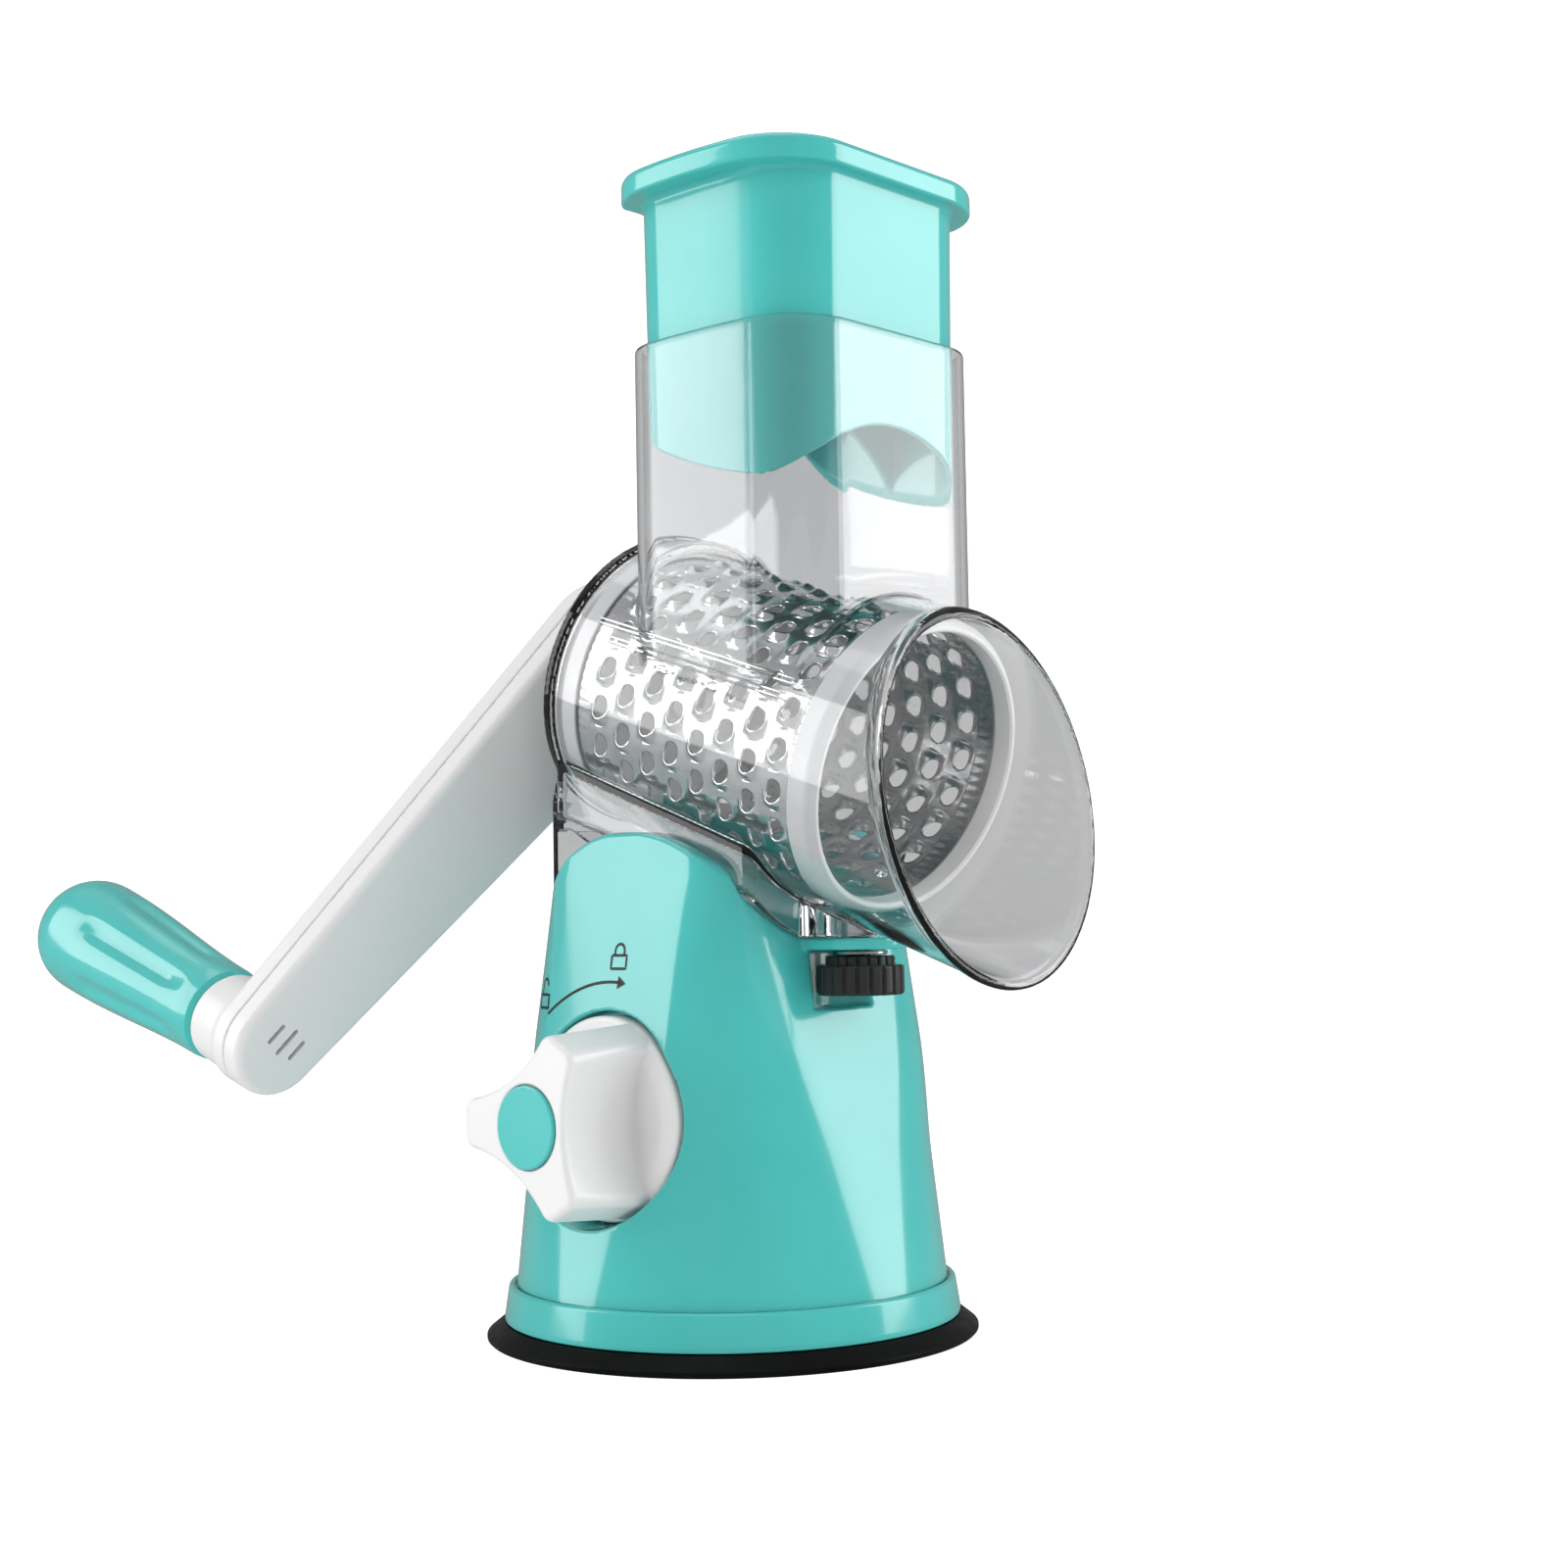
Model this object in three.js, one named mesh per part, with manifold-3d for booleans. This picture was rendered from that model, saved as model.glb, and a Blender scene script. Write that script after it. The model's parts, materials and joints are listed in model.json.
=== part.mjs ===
// Rotary drum grater with a suction base: every physical piece is one named mesh.
// Units are millimetres. +Z is up, +X points out of the drum's mouth, -Y is the knob's side.
// The origin is the centre of the suction pad's underside.
import * as THREE from 'three';
import { mergeVertices } from 'three/addons/utils/BufferGeometryUtils.js';
import Module from 'manifold-3d';

// ---------------------------------------------------------------- driving dimensions
const GAP = 0.3;                 // play between pieces that touch or are fitted together
const WALL = 2.5;                // wall of the base shell
const CLEAR_WALL = 2.0;          // wall of the clear housing

// suction pad and bottom plate
const PAD_R = 64.7;
const PAD_EDGE = 1.4;            // height of the pad's thin rim
const PAD_TOP = 4.7;
const SKIRT_LOW_R = 60;
const SKIRT_TOP_R = 58.8;
const SKIRT_TOP = 13.3;          // shoulder that the base body stands on
const LIP_TOP = 14.3;            // lip around the foot of the body
const LIP_BORE = 57.2;
const FLOOR_LOW = 12;
const FLOOR_TOP = 14.5;
const FLOOR_RIM = 53.8;
const SLEEVE_R = 7;              // sleeve around the pull rod
const SLEEVE_TOP = 18.5;

// base body: a circle at the bottom that turns into a rounded rectangle at the top
const BODY_LOW = SKIRT_TOP + GAP;
const BODY_TOP = 131;
const BODY_LOW_R = 56.8;
const BODY_TOP_X = 31;           // half width along X at the top
const BODY_TOP_Y = 36;           // half width along Y at the top
const BODY_TOP_CORNER = 7;
const SCREW_REACH = 36;          // the four screws of the bottom plate stand at X and Y of this size
const BOSS_R = 5;
const BOSS_TOP = 40;

// drum axis: it leans down towards the mouth
const TILT = THREE.MathUtils.degToRad(18.1);
const DRUM_X = 67.5;             // centre of the drum's open end
const DRUM_Z = 144.4;
const DRUM_R = 35.5;
const DRUM_SHEET = 0.6;
const RING_R = 38.4;
const RING_LENGTH = 8.2;
const HUB_S = -94;               // rear face of the drum's hub, measured along the axis

// housing barrel, measured along the drum axis from the drum's open end
const BARREL_REAR = -98.7;
const BARREL_REAR_R = 38.9;      // outer radius at the rear wall
const SKIRT_REAR = BARREL_REAR + 0.6;
const BARREL_FRONT = 44;
const BARREL_FRONT_R = 42.3;
const MOUTH_X = 89.2;            // centre of the slanted mouth
const MOUTH_Z = 140;
const MOUTH_LEAN = THREE.MathUtils.degToRad(7.6);

// feed chute and pusher: rounded rectangles whose two Y sides are bowed out
const CHUTE_X = 30;
const CHUTE = { a: 33.3, b: 36.7, bow: 2.6, r: 16.4 };
const CHUTE_TOP = 255.6;
const PUSHER = { a: 29.7, b: 33.1, bow: 2.6, r: 13.5 };
const PUSHER_TOP = { a: 30.9, b: 34.3, bow: 2.6, r: 14.5 };
const PUSHER_FLANGE = { a: 34.8, b: 40.0, bow: 4.0, r: 18.5 };
const PUSHER_STRAIGHT_TOP = 215; // it widens above this height
const PUSHER_FLANGE_LOW = 293.1;
const PUSHER_FLANGE_TOP = 299.6;
const PUSHER_ARCH_R = 42;        // its arched underside: a cylinder along the drum axis
const PUSHER_ARCH_LIFT = 40.4;   // how far that cylinder's axis lies above the drum axis

// saddle between the base and the housing: part of a cylinder along the drum axis
const SEAT_R = 46;
const SEAT_DROP = 4;             // how far its axis lies under the drum axis
const EAR_Y = 31.3;              // inner face of the two ears beside the saddle

// clamp under the mouth
const CLAMP_X = 46.5;
const TONGUE_LOW = 100.3;
const TONGUE_TOP = 103.3;
const TONGUE_HALF = 11.5;
const POCKET_R = 12.6;           // room in the base for the thumb knob and its travel
const POCKET_LOW = 85.5;
const LUG_R = 13;                // lug of the housing that rests on the tongue
const LUG_TOP = 122;
const THUMB_LOW = 88.8;
const THUMB_STEP = 96.3;
const THUMB_TOP = 98.6;

// suction lock
const KNOB_Z = 58.9;
const RECESS_R = 27;
const RECESS_Y = -39.5;          // floor of the round recess behind the knob
const KNOB_R = 25.8;
const KNOB_DISC_Y = -46;         // front of the knob's disc
const KNOB_FACE_Y = -71.6;
const KNOB_REACH = 23.5;         // from its axis to the tips of its three lobes
const KNOB_TIP = 12;             // width of a tip
const KNOB_WAIST = 10.5;         // from its axis to the hollow flanks
const SHAFT_R = 4;
const CAM_R = 8;
const CAM_THROW = 3;
const ROD_R = 4;
const SPRING_LOW = 22.2;
const SPRING_HIGH = 33;

// bracket that carries the inner end of the knob's shaft
const DECK_LOW = 34;
const DECK_TOP = 36.5;
const DECK_X = 20;
const DECK_Y = 12;
const FOOT_X = 28;
const FOOT_TOP = 17.3;

// crank, measured along the drum axis
const ARM_FACE = -112;
const ARM_DEPTH = 13;
const ARM_BACK = ARM_FACE - ARM_DEPTH;
const ARM_SEAM = ARM_FACE - ARM_DEPTH / 2;
const ARM_LENGTH = 141.1;
const ARM_ANGLE = THREE.MathUtils.degToRad(49.6);   // below the horizontal, on the -Y side
const ARM_PIVOT_R = 22.6;
const ARM_END_R = 13.4;
const ARM_WALL = 2.2;
const ARM_SCREWS = [32, 118];    // distances from the pivot
const ARM_SLOTS = [[103.5, -93.7, 3.1], [105.85, -90, 4.1], [108.3, -86.5, 3.1]];   // centre, half length
const SLOT_LEAN = -40.4;
const ARM_HUB_R = 11;
const ARM_HUB_FACE = -101.7;     // the hub reaches to the bush in the barrel's rear wall
const SOCKET = 4.3;              // half width of the square sockets on the drive shaft
const SOCKET_END = ARM_BACK + 2.4;
const GRIP_NEAR = -137;
const GRIP_LENGTH = 83;
const GRIP_BORE = GRIP_NEAR - 65.4;   // where the grip's bore widens for the collar
const PUSHER_PASS = 1.5;         // the arm passes this close behind the pusher's top

// ---------------------------------------------------------------- colours
const TEAL = { color: 0x58cac4, roughness: 0.3, metalness: 0 };
const WHITE = { color: 0xe9e9e7, roughness: 0.35, metalness: 0 };
const CLEAR = { color: 0xdfe8ea, roughness: 0.05, metalness: 0, transparent: true, opacity: 0.35 };
const RUBBER = { color: 0x101211, roughness: 0.75, metalness: 0 };
const BLACK = { color: 0x232326, roughness: 0.5, metalness: 0 };
const STEEL = { color: 0xb9bcbf, roughness: 0.3, metalness: 1 };
const GREY = { color: 0x9da3a5, roughness: 0.5, metalness: 0 };

// ---------------------------------------------------------------- solids
const manifold = await Module();
manifold.setup();

function solid(geometry) {
  const plain = geometry.clone();
  for (const name of Object.keys(plain.attributes)) {
    if (name !== 'position') plain.deleteAttribute(name);
  }
  const merged = mergeVertices(plain, 1e-4);
  return new manifold.Manifold(new manifold.Mesh({
    numProp: 3,
    vertProperties: new Float32Array(merged.attributes.position.array),
    triVerts: new Uint32Array(merged.index.array),
  }));
}

function join(...parts) {
  return parts.reduce((whole, part) => whole.add(part));
}

function cut(body, ...tools) {
  return tools.reduce((rest, tool) => rest.subtract(tool), body);
}

function geometryOf(shape) {
  const mesh = shape.getMesh();
  const geometry = new THREE.BufferGeometry();
  geometry.setAttribute('position', new THREE.BufferAttribute(new Float32Array(mesh.vertProperties), 3));
  geometry.setIndex(new THREE.BufferAttribute(new Uint32Array(mesh.triVerts), 1));
  return geometry;
}

function piece(name, shape, finish) {
  const geometry = geometryOf(shape);
  geometry.computeVertexNormals();
  const mesh = new THREE.Mesh(geometry, new THREE.MeshStandardMaterial(finish));
  mesh.name = name;
  return mesh;
}

// equal screws in a group, one mesh for each place
function repeated(name, shape, places) {
  const screws = places.map(([x, y], i) => {
    const mesh = piece(`${name}_${i + 1}`, shape, STEEL);
    mesh.position.set(x, y, 0);
    return mesh;
  });
  return group(...screws);
}

function group(...children) {
  const holder = new THREE.Group();
  holder.add(...children);
  return holder;
}

// a turned solid about Z: the profile is a closed list of [radius, height]
function turned(profile, segments = 24) {
  const points = profile.map(([r, z]) => new THREE.Vector2(r, z));
  points.push(points[0].clone());
  const area = profile.reduce((sum, [r, z], i) => {
    const [r2, z2] = profile[(i + 1) % profile.length];
    return sum + r * z2 - r2 * z;
  }, 0);
  if (area < 0) points.reverse();
  return solid(new THREE.LatheGeometry(points, segments).rotateX(Math.PI / 2));
}

function disc(radius, low, high, segments = 24) {
  return turned([[0, low], [radius, low], [radius, high], [0, high]], segments);
}

function ring(outer, inner, low, high, segments = 24) {
  return turned([[inner, low], [outer, low], [outer, high], [inner, high]], segments);
}

function box(x0, x1, y0, y1, z0, z1) {
  const geometry = new THREE.BoxGeometry(x1 - x0, y1 - y0, z1 - z0);
  return solid(geometry.translate((x0 + x1) / 2, (y0 + y1) / 2, (z0 + z1) / 2));
}

function extruded(points, low, high, bevel = 0) {
  const shape = new THREE.Shape(points.map(([x, y]) => new THREE.Vector2(x, y)));
  const geometry = new THREE.ExtrudeGeometry(shape, {
    depth: high - low - 2 * bevel,
    bevelEnabled: bevel > 0,
    bevelThickness: bevel,
    bevelSize: bevel,
    bevelOffset: -bevel,
    bevelSegments: 2,
    steps: 1,
  });
  return solid(geometry.translate(0, 0, low + bevel));
}

// a skin through level outlines that all have the same number of points
function lofted(levels) {
  const count = levels[0].points.length;
  const positions = [];
  const index = [];
  for (const { points, z } of levels) {
    for (const [x, y] of points) positions.push(x, y, z);
  }
  levels.slice(1).forEach((_, k) => {
    for (let i = 0; i < count; i += 1) {
      const a = k * count + i;
      const b = k * count + (i + 1) % count;
      index.push(a, b, b + count, a, b + count, a + count);
    }
  });
  const last = (levels.length - 1) * count;
  const outline = levels[0].points.map(([x, y]) => new THREE.Vector2(x, y));
  const lid = THREE.ShapeUtils.triangulateShape(outline, []);
  for (const [a, b, c] of lid) {
    index.push(a, c, b);
    index.push(last + a, last + b, last + c);
  }
  const geometry = new THREE.BufferGeometry();
  geometry.setAttribute('position', new THREE.Float32BufferAttribute(positions, 3));
  geometry.setIndex(index);
  return solid(geometry);
}

// ---------------------------------------------------------------- outlines
function cornered(halfX, halfY, r, steps = 8) {
  const points = [];
  for (const [sx, sy, quarter] of [[1, 1, 0], [-1, 1, 1], [-1, -1, 2], [1, -1, 3]]) {
    for (let k = 0; k <= steps; k += 1) {
      const t = (quarter + k / steps) * Math.PI / 2;
      points.push([sx * (halfX - r) + r * Math.cos(t), sy * (halfY - r) + r * Math.sin(t)]);
    }
  }
  return points;
}

// rounded rectangle with bowed Y sides, moved to the chute's centre
function bowed({ a, b, bow, r }, grow = 0) {
  const halfX = a + grow;
  const halfY = b + grow;
  const radius = r + grow;
  const steps = 5;
  const points = [];
  for (const [sx, sy, quarter] of [[1, 1, 0], [-1, 1, 1], [-1, -1, 2], [1, -1, 3]]) {
    for (let k = 0; k <= steps; k += 1) {
      const t = (quarter + k / steps) * Math.PI / 2;
      const x = sx * (halfX - radius) + radius * Math.cos(t);
      const y = sy * (halfY - radius) + radius * Math.sin(t);
      const swell = Math.min(1, Math.abs(y) / (halfY - radius));
      points.push([x, y + Math.sign(y) * bow * (1 - (x / halfX) ** 2) * swell]);
    }
    if (quarter % 2 === 0) {
      for (const u of [0.5, 0, -0.5]) {
        const x = sy * u * (halfX - radius);
        points.push([x, sy * (halfY + bow * (1 - (x / halfX) ** 2))]);
      }
    }
  }
  return points.map(([x, y]) => [x + CHUTE_X, y]);
}

// ---------------------------------------------------------------- places
// local Z runs along the drum axis and out of the mouth, local X points down, local Y stays
const toDrum = new THREE.Matrix4()
  .makeTranslation(DRUM_X, 0, DRUM_Z)
  .multiply(new THREE.Matrix4().makeRotationY(Math.PI / 2 + TILT));

function placed(shape, matrix) {
  return shape.transform(matrix.elements);
}

function onDrumAxis(shape) {
  return placed(shape, toDrum);
}

function drumGroup(...children) {
  const holder = group(...children);
  holder.applyMatrix4(toDrum);
  return holder;
}

// local Z runs along +Y through the knob's centre
const toKnob = new THREE.Matrix4()
  .makeTranslation(0, 0, KNOB_Z)
  .multiply(new THREE.Matrix4().makeRotationX(-Math.PI / 2));

function knobGroup(...children) {
  const holder = group(...children);
  holder.applyMatrix4(toKnob);
  return holder;
}

// ---------------------------------------------------------------- base
function bodyLevel(z, inset) {
  const t = (z - BODY_LOW) / (BODY_TOP - BODY_LOW);
  const halfX = THREE.MathUtils.lerp(BODY_LOW_R, BODY_TOP_X, t) - inset;
  const halfY = THREE.MathUtils.lerp(BODY_LOW_R, BODY_TOP_Y, t) - inset;
  const wanted = Math.max(THREE.MathUtils.lerp(BODY_LOW_R, BODY_TOP_CORNER, t) - inset, 1.5);
  const r = Math.min(wanted, halfX - 0.01, halfY - 0.01);
  return { points: cornered(halfX, halfY, r), z };
}

function saddle(radius, halfY) {
  const bowl = onDrumAxis(disc(radius, -180, 60, 36).translate([SEAT_DROP, 0, 0]));
  return bowl.intersect(box(-90, 90, -halfY, halfY, 60, 260));
}

// the ears' outline seen from the side: everything above it is cut away
function earTop() {
  const points = [[-60, 104], [-33, 113], [-29.5, 120], [-25.5, 125.5], [-20, 129.6], [-13.5, 131.2],
    [15, 131.2], [21, 129.8], [27.5, 125.3], [33.5, 119.3], [41, 111], [60, 100], [60, 170], [-60, 170]];
  const prism = extruded(points, -60, 60);
  return placed(prism, new THREE.Matrix4().makeRotationX(Math.PI / 2));
}

function knobRecess(radius, floor) {
  return placed(disc(radius, -70, floor, 32), toKnob);
}

function clampPocket(radius, low, high) {
  return disc(radius, low, high, 32).translate([CLAMP_X, 0, 0]);
}

function baseShell() {
  const levels = [BODY_LOW, 50, 90, BODY_TOP + 1];
  const outer = lofted(levels.map((z) => bodyLevel(z, 0)));
  const inner = lofted([BODY_LOW - 5, 50, 90, BODY_TOP - 3].map((z) => bodyLevel(z, WALL)));
  const hollow = cut(
    inner,
    saddle(SEAT_R + WALL, EAR_Y + WALL),
    knobRecess(RECESS_R + WALL, RECESS_Y + WALL),
    clampPocket(POCKET_R + WALL, POCKET_LOW - WALL, BODY_TOP),
    earTop().translate([0, 0, -WALL]),
  );
  const tongue = join(
    box(BODY_TOP_X - 1, CLAMP_X, -TONGUE_HALF, TONGUE_HALF, TONGUE_LOW, TONGUE_TOP),
    disc(TONGUE_HALF, TONGUE_LOW, TONGUE_TOP, 32).translate([CLAMP_X, 0, 0]),
  );
  let body = cut(outer, saddle(SEAT_R, EAR_Y), earTop());
  body = cut(body, knobRecess(RECESS_R, RECESS_Y), clampPocket(POCKET_R, POCKET_LOW, TONGUE_LOW));
  body = join(cut(body, hollow), tongue);
  body = cut(body, placed(disc(7.8, -60, 0, 32), toKnob));
  body = cut(body, disc(3, 90, 110, 24).translate([CLAMP_X, 0, 0]));
  for (const [x, y] of corners(SCREW_REACH)) {
    const boss = disc(BOSS_R, FLOOR_TOP + GAP, BOSS_TOP, 12).translate([x, y, 0]).intersect(outer);
    const web = rib(x, y).intersect(outer);
    body = cut(join(body, boss, web), disc(1.9, 10, 30, 8).translate([x, y, 0]));
  }
  return piece('base_shell', body, TEAL);
}

function corners(reach) {
  return [[reach, reach], [-reach, reach], [-reach, -reach], [reach, -reach]];
}

// a web that ties a screw boss to the outer wall
function rib(x, y) {
  const web = box(0, 8, -1.2, 1.2, FLOOR_TOP + GAP, BOSS_TOP - 4);
  return web.rotate([0, 0, THREE.MathUtils.radToDeg(Math.atan2(y, x))]).translate([x, y, 0]);
}

function bottomPlate() {
  const plate = turned([
    [ROD_R + 0.4, FLOOR_LOW], [56.4, FLOOR_LOW], [57.2, PAD_TOP + GAP], [SKIRT_LOW_R, PAD_TOP + GAP],
    [SKIRT_LOW_R, PAD_TOP + 1.7], [SKIRT_TOP_R, LIP_TOP - 0.8], [SKIRT_TOP_R - 0.6, LIP_TOP],
    [LIP_BORE, LIP_TOP], [LIP_BORE, SKIRT_TOP], [FLOOR_RIM, SKIRT_TOP], [FLOOR_RIM, FLOOR_TOP],
    [SLEEVE_R, FLOOR_TOP], [SLEEVE_R, SLEEVE_TOP], [ROD_R + 0.4, SLEEVE_TOP],
  ], 40);
  let body = plate;
  for (const [x, y] of corners(SCREW_REACH)) body = cut(body, disc(2.1, 5, 20, 12).translate([x, y, 0]));
  for (const [x, y] of footPlaces()) body = cut(body, disc(1.2, 5, 20, 12).translate([x, y, 0]));
  return piece('bottom_plate', body, TEAL);
}

function baseScrews() {
  const screw = turned([[0, 8.7], [3.6, 8.7], [3.6, 11.4], [1.6, 11.7], [1.6, 27], [0, 27]], 8);
  return repeated('base_screw', screw, corners(SCREW_REACH));
}

function suctionPad() {
  const body = turned([
    [0, 0], [PAD_R - 0.6, 0], [PAD_R, 0.6], [PAD_R, PAD_EDGE], [60.6, PAD_TOP], [18, PAD_TOP], [16, 8],
    [13.4, 8], [13.4, 3.2], [0, 3.2],
  ], 40);
  return piece('suction_pad', body, RUBBER);
}

// ---------------------------------------------------------------- inner mechanism
function footPlaces() {
  return [[23, 7], [23, -7], [-23, 7], [-23, -7]];
}

function mechanismBracket() {
  const foot = FLOOR_TOP + GAP;
  const leg = join(
    box(DECK_X - WALL, DECK_X, -DECK_Y, DECK_Y, foot, DECK_TOP - 1),
    box(DECK_X - 1, FOOT_X, -DECK_Y, DECK_Y, foot, FOOT_TOP),
  );
  const cheek = box(-DECK_Y, DECK_Y, DECK_Y - WALL, DECK_Y, DECK_TOP - 1, KNOB_Z + 11);
  let body = join(
    box(-DECK_X, DECK_X, -DECK_Y, DECK_Y, DECK_LOW, DECK_TOP),
    leg,
    leg.rotate([0, 0, 180]),
    cheek,
    cheek.rotate([0, 0, 180]),
  );
  body = cut(body, disc(ROD_R + 0.6, 30, 40, 32), placed(disc(SHAFT_R + GAP, -14, 14, 32), toKnob));
  for (const [x, y] of footPlaces()) body = cut(body, disc(1.9, 10, 20, 12).translate([x, y, 0]));
  return piece('mechanism_bracket', body, GREY);
}

function bracketScrews() {
  const screw = turned([[0, 12.3], [0.85, 12.3], [0.85, 17.6], [2.8, 17.6], [2.8, 19.4], [0, 19.4]], 8);
  return repeated('bracket_screw', screw, footPlaces());
}

// a rod with a window that the cam turns in: its upper bar rides on the cam
function pullRod() {
  const halfWidth = CAM_R + CAM_THROW + 0.8;
  const low = KNOB_Z - CAM_R - 0.6;
  const high = KNOB_Z + CAM_R + 1;
  const bar = 3.5;
  const frame = cut(
    box(-halfWidth - bar, halfWidth + bar, -4, 4, low - bar, high + bar),
    box(-halfWidth, halfWidth, -6, 6, low, high),
  );
  return piece('pull_rod', join(frame, disc(ROD_R, 8.2, low - 1, 24)), WHITE);
}

function padButton() {
  const body = turned([[0, 3.6], [13, 3.6], [13, 6.2], [7, 7.9], [0, 7.9]], 32);
  return piece('pad_button', body, GREY);
}

function springSeat() {
  return piece('spring_seat', ring(8, 4.3, 19.6, 21.2, 24), STEEL);
}

function returnSpring() {
  const turns = 4;
  const radius = 6.6;
  const wire = 0.65;
  class Helix extends THREE.Curve {
    getPoint(t, target = new THREE.Vector3()) {
      const angle = t * turns * 2 * Math.PI;
      const height = THREE.MathUtils.lerp(SPRING_LOW, SPRING_HIGH, t);
      return target.set(radius * Math.cos(angle), radius * Math.sin(angle), height);
    }
  }
  const section = new THREE.Shape();
  section.absarc(0, 0, wire, 0, 2 * Math.PI);
  const geometry = new THREE.ExtrudeGeometry(section, {
    steps: turns * 12,
    curveSegments: 3,
    extrudePath: new Helix(),
    bevelEnabled: false,
  });
  return piece('return_spring', solid(geometry), STEEL);
}

// pieces on the knob's axis: local Z is +Y, local Y is down
function knobOutline() {
  const shape = [];
  const lobes = 3;
  const steps = 10;
  const third = 2 * Math.PI / lobes;
  const tip = (angle, side) => new THREE.Vector2(KNOB_REACH, side * KNOB_TIP / 2)
    .rotateAround(new THREE.Vector2(), angle);
  for (let lobe = 0; lobe < lobes; lobe += 1) {
    const angle = Math.PI + lobe * third;
    const from = tip(angle, 1);
    const to = tip(angle + third, -1);
    const inward = new THREE.Vector2(Math.cos(angle + third / 2), Math.sin(angle + third / 2));
    const sink = KNOB_WAIST - from.clone().lerp(to, 0.5).length();
    shape.push(tip(angle, -1));
    for (let k = 0; k < steps; k += 1) {
      const t = k / steps;
      shape.push(from.clone().lerp(to, t).addScaledVector(inward, sink * 4 * t * (1 - t)));
    }
  }
  return shape.map(({ x, y }) => [x, y]);
}

function knobPieces() {
  const hull = extruded(knobOutline(), KNOB_FACE_Y, KNOB_DISC_Y + 1, 1.2);
  const plate = turned([
    [0, RECESS_Y - 0.8], [KNOB_R, RECESS_Y - 0.8], [KNOB_R, KNOB_DISC_Y + 1.6],
    [KNOB_R - 1.6, KNOB_DISC_Y], [0, KNOB_DISC_Y],
  ], 40);
  const body = cut(
    join(hull, plate),
    disc(10.5, -80, -70.6, 32),
    disc(4.2, -75, -66.8, 24),
    disc(1.9, -70, -60, 16),
    disc(SHAFT_R + GAP, -65.6, -30, 24),
  );
  const cap = turned([[0, -72.3], [9.4, -72.3], [10.2, -71.7], [10.2, -70.9], [0, -70.9]], 32);
  const screw = turned([[0, -70.3], [3.4, -70.3], [3.4, -67.1], [1.5, -67.1], [1.5, -56], [0, -56]], 16);
  const shaft = cut(disc(SHAFT_R, -65.2, 14.5, 24), disc(1.9, -70, -53, 16));
  const cam = cut(disc(CAM_R, -3.7, 3.7, 28).translate([-CAM_THROW, 0, 0]), disc(SHAFT_R + GAP, -6, 6, 20));
  return knobGroup(
    piece('knob', body, WHITE),
    piece('knob_cap', cap, TEAL),
    piece('knob_screw', screw, STEEL),
    piece('knob_shaft', shaft, STEEL),
    piece('cam', cam, GREY),
  );
}

function knobBush() {
  const bore = SHAFT_R + GAP;
  const flange = RECESS_Y + WALL + GAP;
  const end = RECESS_Y + WALL + 2;
  const body = turned([
    [bore, RECESS_Y + 0.1], [7.5, RECESS_Y + 0.1], [7.5, flange], [10, flange], [10, end], [bore, end],
  ], 32);
  return knobGroup(piece('knob_bush', body, GREY));
}

// ---------------------------------------------------------------- housing
function barrelRadius(s) {
  const t = (s - BARREL_REAR) / (BARREL_FRONT - BARREL_REAR);
  return THREE.MathUtils.lerp(BARREL_REAR_R, BARREL_FRONT_R, t);
}

function barrelOuter() {
  return turned([
    [0, BARREL_REAR], [BARREL_REAR_R + 1, BARREL_REAR], [BARREL_REAR_R + 1, BARREL_REAR + 2.2],
    [barrelRadius(BARREL_REAR + 2.2), BARREL_REAR + 2.2], [BARREL_FRONT_R, BARREL_FRONT], [0, BARREL_FRONT],
  ], 48);
}

function barrelInner() {
  const rear = BARREL_REAR + CLEAR_WALL + 0.5;
  return turned([
    [0, rear], [barrelRadius(rear) - CLEAR_WALL, rear],
    [barrelRadius(BARREL_FRONT + 1) - CLEAR_WALL, BARREL_FRONT + 1], [0, BARREL_FRONT + 1],
  ], 48);
}

// everything in front of the slanted mouth
function beyondMouth() {
  const block = box(0, 80, -80, 80, -80, 80);
  return block.rotate([0, -THREE.MathUtils.radToDeg(MOUTH_LEAN), 0]).translate([MOUTH_X, 0, MOUTH_Z]);
}

function skirt(inset) {
  const bowl = onDrumAxis(disc(SEAT_R - GAP - inset, SKIRT_REAR, 60, 36).translate([SEAT_DROP, 0, 0]));
  const halfY = EAR_Y - GAP - inset;
  const under = bowl.intersect(box(-34.2 + inset, 38 - inset, -halfY, halfY, 60, 260));
  const above = onDrumAxis(box(-80, -15, -60, 60, -200, 80));
  return cut(under, above);
}

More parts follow.
